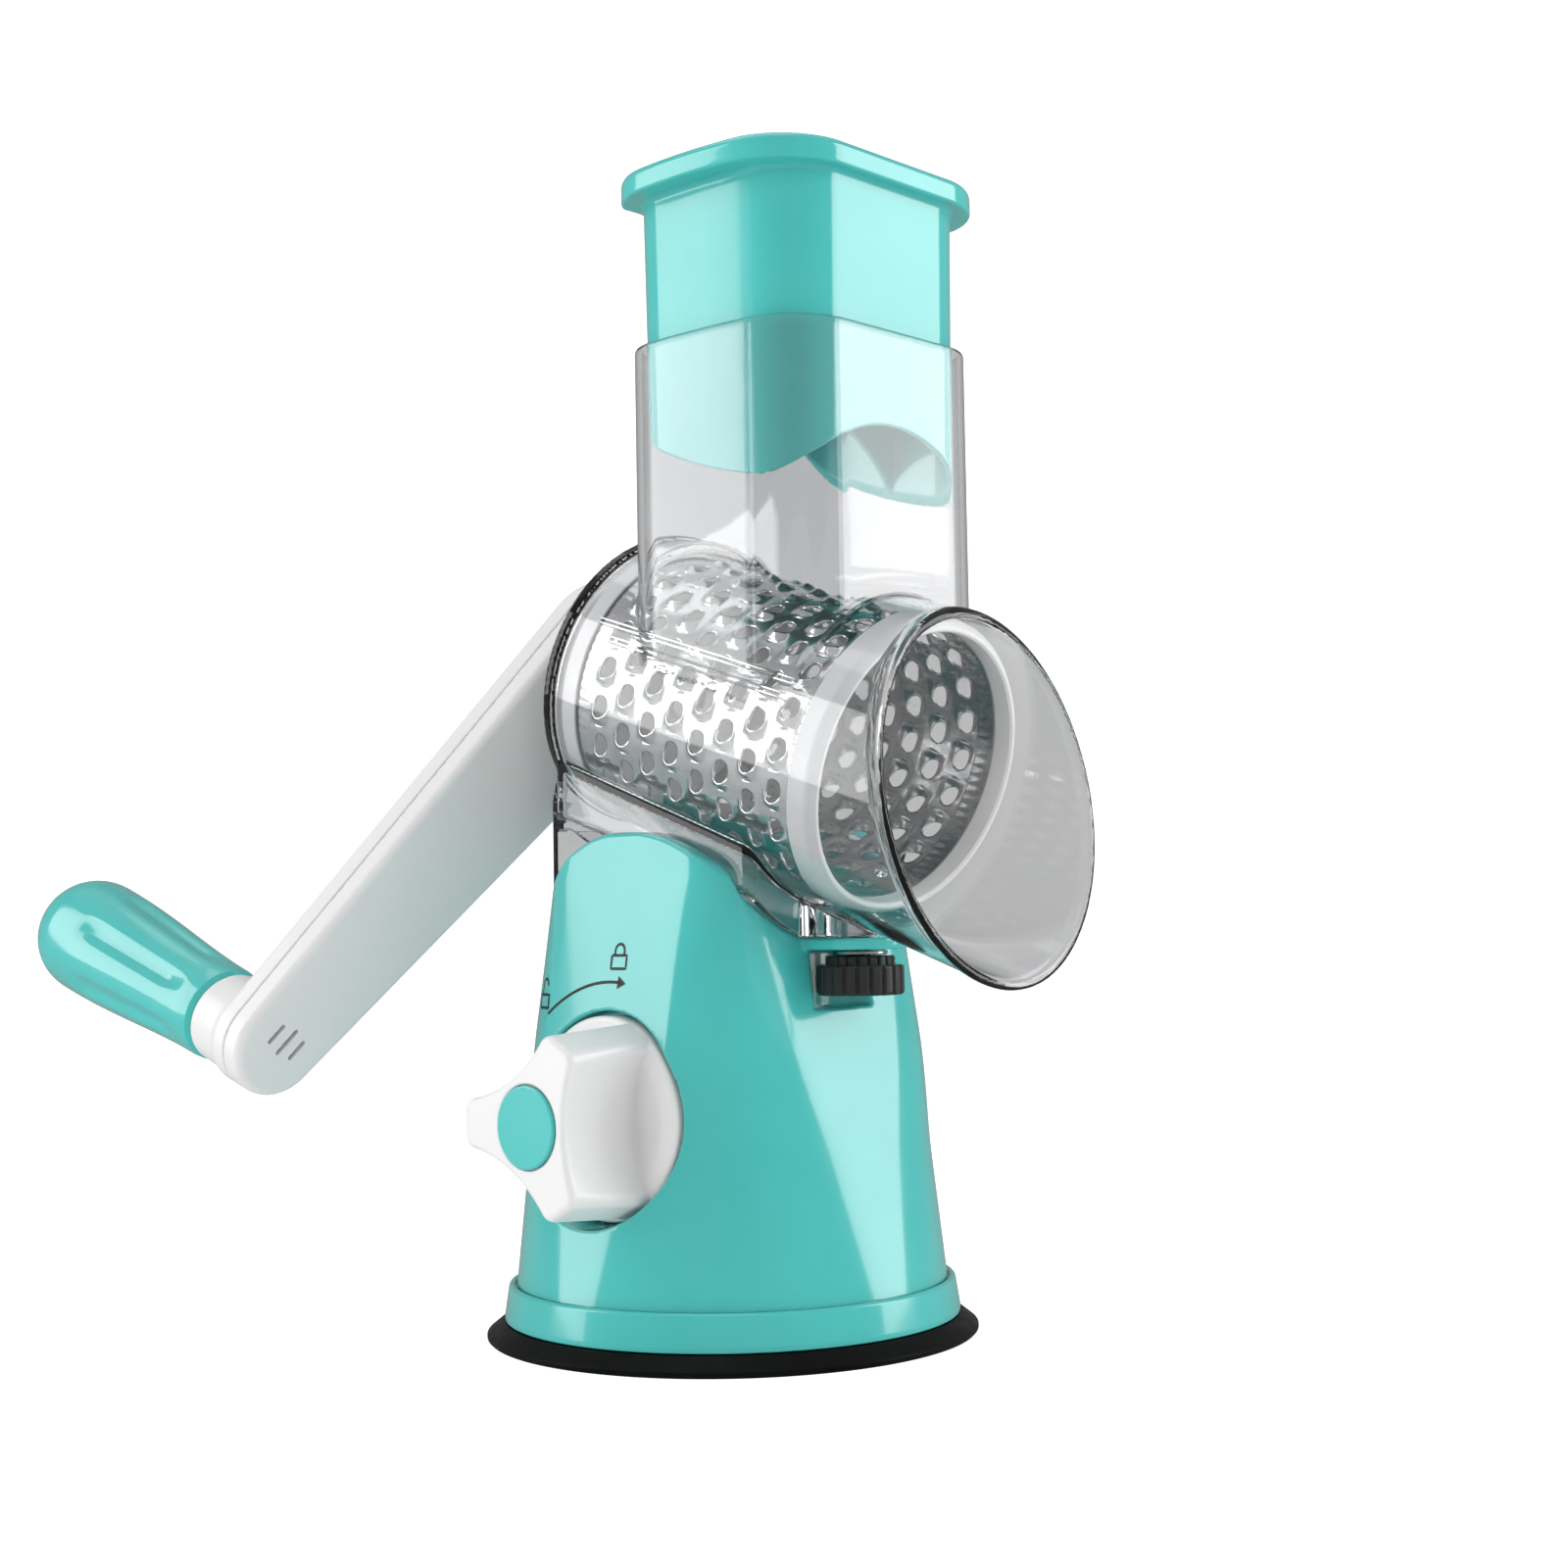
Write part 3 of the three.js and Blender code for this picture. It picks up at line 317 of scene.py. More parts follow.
def applied(piece):
    """The piece's mesh once its modifiers are worked in."""
    depsgraph = bpy.context.evaluated_depsgraph_get()
    mesh = bpy.data.meshes.new_from_object(piece.evaluated_get(depsgraph))
    piece.modifiers.clear()
    piece.data = mesh
    return mesh


def cut(piece, cutter):
    """Cuts one piece out of another, and removes it."""
    hole = piece.modifiers.new("hole", "BOOLEAN")
    hole.object = cutter
    hole.solver = "EXACT"
    applied(piece)
    bpy.data.objects.remove(cutter)


def softened(profile, steps=4):
    """A closed profile of [radius, height] or [radius, height, fillet] with its corners rounded."""
    points = []
    count = len(profile)
    for i, corner in enumerate(profile):
        here = np.array(corner[:2], float)
        fillet = corner[2] if len(corner) > 2 else 0
        before = np.array(profile[i - 1][:2], float) - here
        after = np.array(profile[(i + 1) % count][:2], float) - here
        if fillet == 0:
            points.append(here)
            continue
        before /= np.linalg.norm(before)
        after /= np.linalg.norm(after)
        half = math.acos(np.clip(before @ after, -1, 1)) / 2
        reach = fillet / math.tan(half)
        centre = here + (before + after) / np.linalg.norm(before + after) * fillet / math.sin(half)
        start = here + before * reach - centre
        end = here + after * reach - centre
        for k in range(steps + 1):
            ray = start * (1 - k / steps) + end * (k / steps)
            points.append(centre + ray / np.linalg.norm(ray) * fillet)
    return points


def spun(name, profile, place=UPRIGHT, segments=96, shape=None):
    """A turned piece. shape(radius, height, angle) may change the radius round the axis."""
    points = softened(profile)
    area = sum(a[0] * b[1] - b[0] * a[1] for a, b in zip(points, points[1:] + points[:1]))
    if area < 0:
        points.reverse()
    verts = []
    rings = []
    for radius, height in points:
        if radius < 1e-6:
            rings.append([len(verts)] * segments)
            verts.append((0, 0, height))
            continue
        rings.append(list(range(len(verts), len(verts) + segments)))
        for k in range(segments):
            angle = 2 * math.pi * k / segments
            r = radius if shape is None else shape(radius, height, angle)
            verts.append((r * math.cos(angle), r * math.sin(angle), height))
    faces = []
    for lower, upper in zip(rings, rings[1:] + rings[:1]):
        for k in range(segments):
            n = (k + 1) % segments
            face = list(dict.fromkeys((lower[k], lower[n], upper[n], upper[k])))
            if len(face) > 2:
                faces.append(face)
    return built(name, verts, faces, place)


def drilled(piece, holes):
    """Round holes along Z through a piece: each is (x, y, radius, low, high)."""
    for x, y, radius, low, high in holes:
        profile = [(0, low), (radius, low), (radius, high), (0, high)]
        cut(piece, spun("drill", profile, Matrix.Translation((x, y, 0)), 32))
    return piece


# ------------------------ base
def tapered_body(x, y, z, inset):
    """Round at the foot and square at the top, with a flat creased facet on both Y sides."""
    t = (z - BODY_LOW) / (BODY_TOP - BODY_LOW)
    half_x = lerp(BODY_LOW_R, BODY_TOP_X, t)
    half_y = lerp(BODY_LOW_R, BODY_TOP_Y, t)
    r = np.maximum(lerp(BODY_LOW_R, BODY_TOP_CORNER, t), FACET_CORNER)
    reach = np.clip(FACET_X - half_x + r, 0, 0.9 * r)
    crease = np.clip((z - 45) / 35, 0, 1)
    swell = (r - np.sqrt(r ** 2 - reach ** 2)) * crease ** 2 * (3 - 2 * crease)
    r = np.clip(r - inset, 1.5, np.minimum(half_x, half_y) - inset - 0.01)
    plan = rounded_box(x, y, half_x - inset, half_y + swell - inset, r)
    return both(plan, np.abs(y) - half_y + inset, 0.5) * 0.98


def above_ears(x, z):
    """The ears' outline seen from the side: a level top that slopes away steeply at both ends."""
    front = (x - 27.5) * 0.728 + (z - 125.3) * 0.686
    rear = -(x + 29.5) * 0.894 + (z - 120) * 0.447
    return both(both(z - EAR_TOP, front, 16), rear, 16)


def seat_radius(x, y, z):
    return np.hypot(down(x, z) - SEAT_DROP, y)


def saddle(x, y, z, grow=0.0):
    return both(seat_radius(x, y, z) - SEAT_R - grow, np.abs(y) - EAR_Y - grow, 3 + grow)


def knob_recess(x, y, z, grow=0.0):
    return both(np.hypot(x, z - KNOB_Z) - RECESS_R - grow, y - RECESS_Y - grow, 0.5 + grow)


def clamp_pocket(x, y, z, grow=0.0):
    radial = np.hypot(x - CLAMP_X, y) - POCKET_R - grow
    return both(radial, slab(z, POCKET_LOW - grow, BODY_TOP), 0.5 + grow)


def screw_bosses(x, y, z):
    ax, ay = np.abs(x) - SCREW_REACH, np.abs(y) - SCREW_REACH
    post = np.hypot(ax, ay) - 5
    web = block((ax + ay) * 0.7071, (ax - ay) * 0.7071, z, ((0, 9), (-1.2, 1.2), (14.8, 36)))
    return either(both(post, slab(z, 14.8, 40), 0.5), web, 1)


def base_shell_field(x, y, z):
    solid = both(tapered_body(x, y, z, 0), above_ears(x, z), 1.6)
    solid = without(solid, saddle(x, y, z), 1.2)
    solid = without(solid, knob_recess(x, y, z), 0.8)
    solid = without(solid, clamp_pocket(x, y, z), 0.8)
    room = both(tapered_body(x, y, z, WALL), above_ears(x, z) + WALL, 1)
    room = without(room, saddle(x, y, z, WALL), 1)
    room = without(room, knob_recess(x, y, z, WALL), 1)
    room = without(room, clamp_pocket(x, y, z, WALL), 1)
    shell = without(solid, room)
    shell = both(either(shell, screw_bosses(x, y, z), 1), solid)
    from_stud = np.hypot(x - CLAMP_X, y)
    tongue = either(from_stud - 11.5, block(x, y, z, ((20, CLAMP_X), (-11.5, 11.5), (90, 110))))
    tongue = both(both(tongue, slab(z, TONGUE_LOW, TONGUE_TOP), 0.6), 33.5 - x)
    shell = either(shell, tongue, 1)
    shell = without(shell, both(np.hypot(x, z - KNOB_Z) - 7.8, y + 30), 0.3)
    shell = without(shell, both(from_stud - 3, slab(z, 95, 108)), 0.3)
    pilot = both(np.hypot(np.abs(x) - SCREW_REACH, np.abs(y) - SCREW_REACH) - 1.9, z - 30)
    return both(without(shell, pilot, 0.2), BODY_LOW - z, 0.5)


def bottom_plate():
    profile = [
        (4.4, 12), (56.4, 12, 0.8), (57.2, 5, 0.2), (60, 5, 0.4), (60, 6.4, 0.5), (58.8, 14.3, 1.0),
        (57.2, 14.3, 0.5), (57.2, 13.3, 0.2), (53.8, 13.3, 0.2), (53.8, 14.5, 0.2),
        (7, 14.5, 0.6), (7, 18.5, 0.5), (4.4, 18.5, 0.5),
    ]
    plate = spun("base_skirt", profile, segments=192)
    corner_holes = [(sx * SCREW_REACH, sy * SCREW_REACH, 2.1, 5, 20) for sx in (-1, 1) for sy in (-1, 1)]
    foot_holes = [(sx * BRACKET_X, sy * BRACKET_Y, 1.2, 5, 20) for sx in (-1, 1) for sy in (-1, 1)]
    return drilled(plate, corner_holes + foot_holes)


def suction_pad():
    profile = [
        (0, 0.5), (13, 0.5, 2), (58, 0, 2), (64.1, 0, 0.3), (64.7, 0.6, 0.3), (64.7, 1.5, 0.4),
        (60.6, 4.7, 0.6), (18, 4.7, 1), (16, 8, 0.8), (13.4, 8, 0.3), (13.4, 3.2, 0.3), (0, 3.2),
    ]
    return spun("suction_cup", profile, segments=192)


# ------------------------ suction knob
def knob_lobes(x, y, z):
    """The three-lobed grip: towards the disc its tips reach further out and its flanks are more hollow."""
    depth = y - KNOB_FACE_Y
    radius = np.hypot(x, z)
    turn = np.arctan2(z, x) + math.pi
    third = 2 * math.pi / 3
    turn = (turn + third / 2) % third - third / 2
    p, q = radius * np.cos(turn), np.abs(radius * np.sin(turn))
    tip_x, tip_y = KNOB_REACH + 0.085 * depth, KNOB_TIP
    waist = KNOB_WAIST - 0.15 * depth
    far = (tip_x ** 2 + tip_y ** 2 - waist ** 2) / (tip_x + math.sqrt(3) * tip_y - 2 * waist)
    flank = (far - waist) - np.hypot(p - far / 2, q - far * math.sqrt(3) / 2)
    return both(p - tip_x, flank, 3)


def knob_dish(x, y, z):
    """A shallow dish in the disc, which shows as a crescent beside each flank."""
    reach, sink = 19.6, 2.9
    height = (reach ** 2 - sink ** 2) / (2 * sink)
    return np.sqrt(x ** 2 + z ** 2 + (y - KNOB_DISC_Y + height) ** 2) - height - sink


def knob_field(x, y, z):
    z = z - KNOB_Z
    radial = np.hypot(x, z)
    disc = both(radial - KNOB_R, slab(y, KNOB_DISC_Y, RECESS_Y - 0.8), 1.2)
    disc = without(disc, knob_dish(x, y, z), 0.5)
    hull = both(knob_lobes(x, y, z), both(KNOB_FACE_Y - y, y + 42), 1.6)
    body = either(disc, both(hull, radial - KNOB_R), 0.5)
    body = without(body, both(radial - 10.5, y + 70.6), 0.3)
    body = without(body, both(radial - 4.2, y + 66.8))
    body = without(body, both(radial - 1.9, y + 60))
    return without(body, both(radial - 4.3, -65.6 - y))


def knob_cap():
    y = node_box("knob_cap")[0][1]
    return spun("lock_knob_cap", [(0, y), (10.2, y, 0.5), (10.2, y + 1.4, 0.3), (0, y + 1.4)], ON_KNOB_AXIS)


# ------------------------ clear housing
def barrel_radius(s):
    return lerp(BARREL_REAR_R, BARREL_FRONT_R, (s - BARREL_REAR) / (BARREL_FRONT - BARREL_REAR))


def mouth_depth(x, z):
    return (x - MOUTH_X) * math.cos(MOUTH_LEAN) + (z - MOUTH_Z) * math.sin(MOUTH_LEAN)


def barrel_ridges():
    """Two pairs of fine raised lines along the barrel's upper side."""
    verts, faces = [], []
    sides, rows, bead = 8, 24, 0.32
    for angle, start, end in ((64.4, -88, -13), (66.2, -88, -13), (70.3, -82, -15), (72.1, -82, -15)):
        turn = math.radians(180 - angle)
        base = len(verts)
        for row in range(rows + 1):
            s = lerp(start, end, row / rows)
            fade = math.sin(math.pi * min(row + 0.2, rows - row + 0.2, 2) / 4)
            for k in range(sides):
                t = 2 * math.pi * k / sides
                r = barrel_radius(s) + bead * fade * math.cos(t) - 0.05
                swing = turn + bead * fade * math.sin(t) / barrel_radius(s)
                verts.append((r * math.cos(swing), -r * math.sin(swing), s))
        faces += ring_quads(base, sides, rows + 1)
        faces += [[*range(base + sides - 1, base - 1, -1)], [*range(len(verts) - sides, len(verts))]]
    return built("housing_ridges", verts, faces, ON_DRUM_AXIS)


def skirt_walls(x, y, z):
    below = -15 - down(x, z)
    reach = both(both(np.abs(y) - 31, slab(x, -34.2, 38), 3), seat_radius(x, y, z) - 45.7, 0.8)
    hollow = both(np.abs(y) - 29, slab(x, -32.2, 36), 2)
    walls = without(both(reach, below), hollow, 0.3)
    plate = either(
        block(x, y, z, ((-36.9, -34.7), (-29, 29), (116, 165)), 0.6),
        block(x, y, z, ((-36.9, -32.3), (-29, 29), (133, 165)), 0.6),
    )
    return either(walls, plate, 0.5)


def clamp_lug(x, y, z):
    plan = either(np.hypot(x - CLAMP_X, y) - 13, block(x, y, z, ((37.4, CLAMP_X), (-13, 13), (90, 130))))
    return both(plan, slab(z, TONGUE_TOP + 0.3, 122), 0.6)


def housing_field(x, y, z):
    s, u = along(x, z), down(x, z)
    rho = np.hypot(u, y)
    radial = rho - barrel_radius(s)
    plan = bowed_box(x, y, *CHUTE)
    barrel = both(radial, BARREL_REAR - s, 0.6)
    flange = both(rho - BARREL_REAR_R - 1, slab(s, BARREL_REAR, BARREL_REAR + 3), 0.7)
    barrel = either(barrel, flange, 0.4)
    bead = np.hypot(
        np.maximum(np.abs(mouth_depth(x, z) + 1.6) - 0.3, 0),
        np.maximum(np.abs(radial + 1) - 0.2, 0),
    ) - 1.3
    barrel = either(barrel, bead, 1)
    solid = either(barrel, both(plan, u + 10), 1.2)
    under = both(either(skirt_walls(x, y, z), clamp_lug(x, y, z), 0.5), BARREL_REAR + 0.6 - s)
    solid = either(solid, without(under, block(x, y, z, ((20, 60), (-12, 12), (90, TONGUE_TOP + 0.3)))), 0.8)
    room = either(both(radial + CLEAR_WALL, BARREL_REAR + 2.5 - s, 1), both(plan + CLEAR_WALL, u + 10), 2.2)
    solid = without(solid, room)
    solid = both(solid, mouth_depth(x, z), 0.95)
    solid = both(solid, z - CHUTE_TOP, 0.95)
    solid = without(solid, rho - 8.4 + 100 * (s > -90), 0.2)
    return without(solid, both(np.hypot(x - CLAMP_X, y) - 4.9, z - 108.6))


def rear_bush():
    profile = [
        (6.3, -101.4, 0.3), (10.5, -101.4, 0.5), (10.5, -99, 0.2),
        (8.1, -99), (8.1, -95.6, 0.4), (6.3, -95.6, 0.3),
    ]
    return spun("axle_bush", profile, ON_DRUM_AXIS)


def clamp_ring(name, node, inner, outer, segments):
    """A plain ring on the thumb screw's axis, as high as its CAD node."""
    low, high = (corner[2] for corner in node_box(node))
    profile = [(inner, low, 0.2), (outer, low, 0.3), (outer, high, 0.3), (inner, high, 0.2)]
    return spun(name, profile, ON_CLAMP_AXIS, segments)


def ribbed(count, depth):
    """Broad ribs parted by narrow grooves."""
    def shape(radius, height, angle):
        if radius < 6:
            return radius
        phase = (angle * count / (2 * math.pi)) % 1
        groove = math.exp(-((min(phase, 1 - phase) / 0.13) ** 4))
        return radius - depth * groove
    return shape


def clamp_knob():
    profile = [
        (2.8, 92.5, 0.3), (7.6, 92.5, 0.5), (8.6, 88.8, 0.6), (11.1, 88.8, 0.9),
        (11.1, 96.3, 0.7), (8.8, 96.3, 0.4), (8.8, 98.6, 0.5), (2.8, 98.6, 0.3),
    ]
    return spun("thumb_knob", profile, ON_CLAMP_AXIS, 320, ribbed(20, 0.7))


def threaded(low, high, radius, pitch=0.8, depth=0.35):
    """Profile points of a thread between two heights, as rings of crests and roots."""
    points = []
    turns = int((high - low) / pitch)
    for z in (low + k * pitch for k in range(turns)):
        points += [(radius - depth, z), (radius, z + pitch * 0.4), (radius, z + pitch * 0.55)]
    points.append((radius - depth, low + turns * pitch))
    return points


def clamp_stud():
    low, high = (corner[2] for corner in node_box("clamp_stud"))
    thread = threaded(low + 0.4, high - 0.6, 2.5)
    profile = [(0, low), (2.1, low), *thread, (1.7, high), (0, high)]
    return spun("clamp_screw_stud", profile, ON_CLAMP_AXIS, 48)


# ------------------------ drum
def grating_cell(inner, steps):
    """Offsets of one grating cell from its centre, ring by ring, from the cell's edge to the hole's edge."""
    edge = []
    for side in range(4):
        for k in range(4):
            t = -0.5 + k / 4
            edge.append([(t, -0.5), (0.5, t), (-t, 0.5), (-0.5, -t)][side])
    rings = []
    for step in range(steps + 1):
        share = (step / steps) ** 0.8
        ring = []
        for u, v in edge:
            reach = math.hypot(u, v)
            ring.append((lerp(u, u / reach * inner, share), lerp(v, v / reach * inner, share)))
        rings.append(ring)
    return rings


def drum_shell():
    """Steel sheet rolled into a drum: staggered holes, each with one edge punched up into a tooth."""
    rear, front = HUB_S + 4, -RING_LENGTH + 2.3
    margin_rear, margin_front = 6.0, 5.0
    columns, rows = 22, 8
    pitch = (front - rear - margin_rear - margin_front) / rows
    width = 2 * math.pi / columns
    hole, tooth = 0.27, 1.5
    inner = DRUM_R - DRUM_SHEET
    rings = grating_cell(hole, 5)
    points, faces = [], []
    for row in range(rows):
        for column in range(columns):
            centre = (column + (row % 2) / 2) * width
            height = rear + margin_rear + (row + 0.5) * pitch
            faces += ring_quads(len(points), 16, len(rings))
            for u, v in sum(rings, []):
                reach = math.hypot(u, v)
                lead = max(u / max(reach, 1e-9), 0) ** 1.5
                rise = tooth * lead * math.exp(-(max(reach - hole, 0) / 0.13) ** 2)
                points.append((inner + rise, centre + u * width, height + v * pitch))
    edge_count = columns * 8
    for band in ((rear, rear + margin_rear), (front - margin_front, front)):
        faces += ring_quads(len(points), edge_count)
        points += [(inner, k * 2 * math.pi / edge_count, z) for z in band for k in range(edge_count)]
    verts = [(radius * math.cos(turn), radius * math.sin(turn), z) for radius, turn, z in points]
    piece = built("grating_drum", verts, faces, ON_DRUM_AXIS)
    merge_and_thicken(piece, DRUM_SHEET)
    return piece


def merge_and_thicken(piece, thickness):
    work = bmesh.new()
    work.from_mesh(piece.data)
    bmesh.ops.remove_doubles(work, verts=work.verts, dist=0.02 * MM)
    bmesh.ops.recalc_face_normals(work, faces=work.faces)
    work.to_mesh(piece.data)
    work.free()
    sheet = piece.modifiers.new("sheet", "SOLIDIFY")
    sheet.thickness = thickness * MM
    sheet.offset = 1
    mesh = applied(piece)
    mesh.normals_split_custom_set_from_vertices(broad_normals(mesh))


def drum_front_ring():
    profile = [
        (35.8, -8.2, 0.15), (RING_R, -8.2, 0.5), (RING_R, -2.2, 2.4), (36.4, 0, 0.5), (35.6, 0, 0.3),
        (35.1, -0.6, 0.2), (35.1, -5.6), (35.8, -5.6),
    ]
    return spun("drum_mouth_ring", profile, ON_DRUM_AXIS, 160)


def square_bore(half):
    def shape(radius, height, angle):
        if radius > 7:
            return radius
        return min(half / max(abs(math.cos(angle)), abs(math.sin(angle))), half * 1.36)
    return shape


def drum_rear_hub():
    profile = [
        (4.3, -94, 0.3), (36.3, -94, 0.6), (36.3, -88.5, 0.3), (35.8, -88.5), (35.8, -90.3),
        (34, -90.3), (34, -91, 0.3), (9, -91, 1.2), (8.4, -81, 0.6), (4.3, -81, 0.3),
    ]
    return spun("drum_hub", profile, ON_DRUM_AXIS, 160, square_bore(4.3))


# ------------------------ crank
def arm_outline(u, y):
    """Distance from the arm's plan: two round ends joined by straight tangents."""
    p_along = u * math.sin(ARM_ANGLE) - y * math.cos(ARM_ANGLE)
    p_across = np.abs(u * math.cos(ARM_ANGLE) + y * math.sin(ARM_ANGLE))
    narrowing = (ARM_PIVOT_R - ARM_END_R) / ARM_LENGTH
    straight = math.sqrt(1 - narrowing ** 2)
    k = p_along * straight - p_across * narrowing
    big = np.hypot(p_across, p_along) - ARM_PIVOT_R
    small = np.hypot(p_across, p_along - ARM_LENGTH) - ARM_END_R
    side = p_across * straight + p_along * narrowing - ARM_PIVOT_R
    return np.where(k < 0, big, np.where(k > straight * ARM_LENGTH, small, side))


def at_arm(u, y, distance):
    return np.hypot(u - distance * math.sin(ARM_ANGLE), y + distance * math.cos(ARM_ANGLE))


def half_arm(u, y, s, low, high, outer_high):
    """One open half of the arm. Its outer face has a soft edge and its seam a fine one."""
    plan = arm_outline(u, y)
    if outer_high:
        body = both(both(plan, s - high, 2.2), low - s, 0.35)
        room = both(plan + ARM_WALL, s - (high - ARM_WALL), 1)
    else:
        body = both(both(plan, low - s, 2.2), s - high, 0.35)
        room = both(plan + ARM_WALL, low + ARM_WALL - s, 1)
    return without(body, room, 0.2)


def arm_front_field(x, y, z):
    s, u = along(x, z), down(x, z)
    low = ARM_SEAM + 0.15
    pivot = np.hypot(u, y)
    body = half_arm(u, y, s, low, ARM_FACE, True)
    body = either(body, both(pivot - 11, slab(s, low, -101.7), 0.6), 0.8)
    for place in ARM_SCREWS:
        post = both(at_arm(u, y, place) - 3.6, slab(s, low, ARM_FACE - 1))
        body = without(either(body, post, 0.4), both(at_arm(u, y, place) - 1.1, s - low - 3))
    body = without(body, both(pivot - 6.3, -104.9 - s))
    body = without(body, both(both(np.abs(u) - 4.3, np.abs(y) - 4.3), slab(s, ARM_BACK, -104)))
    for centre_u, centre_y, half in ARM_SLOTS:
        du, dy = u - centre_u, y - centre_y
        p = du * math.cos(SLOT_LEAN) + dy * math.sin(SLOT_LEAN)
        q = -du * math.sin(SLOT_LEAN) + dy * math.cos(SLOT_LEAN)
        slot = np.hypot(np.maximum(np.abs(p) - half, 0), q) - SLOT_HALF
        body = without(body, both(slot, ARM_FACE - 4 - s), 0.15)
    return body


def arm_rear_field(x, y, z):
    s, u = along(x, z), down(x, z)
    back = ARM_BACK
    high = ARM_SEAM - 0.15
    pivot, end = np.hypot(u, y), at_arm(u, y, ARM_LENGTH)
    body = half_arm(u, y, s, back, high, False)
    body = either(body, both(end - 12 - 0.04 * (s - GRIP_NEAR), slab(s, GRIP_NEAR + 0.4, back + 3), 0.8), 1)
    body = either(body, both(end - 6, slab(s, back + 1, high)), 0.4)
    body = either(body, both(pivot - 11, slab(s, back + 1, high)), 0.4)
    body = without(body, end - 3.4)
    body = without(body, both(end - 4.5, high - 2.9 - s))
    body = without(body, both(both(np.abs(u) - 4.3, np.abs(y) - 4.3), slab(s, SOCKET_END, high + 1)))
    body = without(body, both(pivot - 2, s - SOCKET_END - 0.5))
    body = without(body, both(pivot - 4.4, s - back - 1.6), 0.2)
    for place in ARM_SCREWS:
        round_screw = at_arm(u, y, place)
        body = either(body, both(round_screw - 3.6, slab(s, back + 1, high)), 0.4)
        body = without(without(body, round_screw - 1.7), both(round_screw - 3.2, s - back - 1.6), 0.2)
    return body


def recessed(piece, place, face, depth, reach):
    """Cuts a cross recess into a screw head whose face is at that height along local Z."""
    heights = sorted((face - math.copysign(0.5, depth), face + depth))
    across = reach * 0.24
    outline = [(-reach, -across), (reach, -across), (reach, across), (-reach, across)]
    faces = [(3, 2, 1, 0), (4, 5, 6, 7), (0, 1, 5, 4), (1, 2, 6, 5), (2, 3, 7, 6), (3, 0, 4, 7)]
    for turn in (0, math.pi / 2):
        verts = [(x, y, z) for z in heights for x, y in outline]
        cut(piece, built("recess", verts, faces, place @ Matrix.Rotation(turn, 4, "Z")))
    return piece


def grip_shape(radius, height, angle):
    """Long shallow flutes that fade out towards both ends."""
    if radius < 8:
        return radius
    t = (GRIP_NEAR - 8 - height) / 48
    if not 0 < t < 1:
        return radius
    fade = min(1, math.sin(math.pi * t) * 2.2) ** 0.8
    return radius - 1.5 * fade * max(math.cos(6 * angle), 0) ** 1.6


def grip():
    near = GRIP_NEAR
    profile = [(3.4, near, 0.3), (11.6, near, 0.5), (12.6, near - 1.2, 0.8)]
    for t in np.linspace(0, 1, 40):
        profile.append((12.9 + 3.4 * math.sin(t * math.pi / 2) ** 1.7, near - 4 - 64 * t))
    for a in np.linspace(0.08, 1.5, 22):
        profile.append((16.3 * math.cos(a) ** 0.8, near - 68 - 15 * math.sin(a)))
    floor = GRIP_BORE - 8.6
    profile += [(0, near - 83), (0, floor), (5.4, floor, 0.4), (5.4, GRIP_BORE, 0.3), (3.4, GRIP_BORE, 0.3)]
    return spun("turning_grip", profile, ON_GRIP_AXIS, 144, grip_shape)


# ------------------------ pusher
def pusher_field(x, y, z):
    grow = PUSHER_GROWTH * np.clip((z - 215) / (PUSHER_TOP - FLANGE_DEPTH - 215), 0, 1)
    half_x, half_y, bow, r = PUSHER
    shell = bowed_box(x, y, half_x, half_y, bow, r) - grow
    plate = both(bowed_box(x, y, *PUSHER_FLANGE), z - PUSHER_TOP, 2.4)
    plate = both(plate, PUSHER_TOP - FLANGE_DEPTH - z, 0.8)
    outer = either(both(shell, z - PUSHER_TOP + 2), plate, 1.5)
    ribs = both(np.minimum(np.abs(y) - 1, np.abs(x - CHUTE_X) - 1), z - PUSHER_TOP + 2)
    room = both(shell + 2, z - PUSHER_TOP + 3, 1)
    body = both(either(without(outer, room), ribs, 0.6), outer)
    u = down(x, z - ARCH_LIFT)
    body = both(without(body, np.hypot(u, y) - ARCH_R, 0.95), u, 0.95)
    return both(body, ARM_FACE + PUSHER_PASS - along(x, z), 0.8)


# ------------------------ metal parts
def drive_shaft():
    def shape(radius, height, angle):
        if abs(radius - 4.01) < 0.005 or abs(radius - 3.7) < 0.005:
            return min(radius / max(abs(math.cos(angle)), abs(math.sin(angle))), radius * 1.34)
        return radius
    end = SOCKET_END + 0.3
    profile = [
        (0, end + 12), (1.9, end + 12), (1.9, end), (3.7, end), (4.01, end + 0.4), (4.01, -104.6),
        (5.7, -104.4), (6, -104.1), (6, -95.5), (5.7, -95.2), (4.01, -95.1),
        (4.01, HUB_S + 10.2), (3.7, HUB_S + 10.6), (0, HUB_S + 10.6),
    ]
    return spun("drum_axle", profile, ON_DRUM_AXIS, 144, shape)


def grip_axle():
    head = ARM_SEAM - 2.75
    groove = GRIP_BORE - 2.6
    profile = [
        (0, groove - 4), (2.6, groove - 4), (3, groove - 3.6), (3, groove), (2.3, groove), (2.3, groove + 2),
        (3, groove + 2), (3, head), (4.1, head, 0.2), (4.1, head + 2, 0.6), (0, head + 2),
    ]
    return spun("grip_pin", profile, ON_GRIP_AXIS, 64)


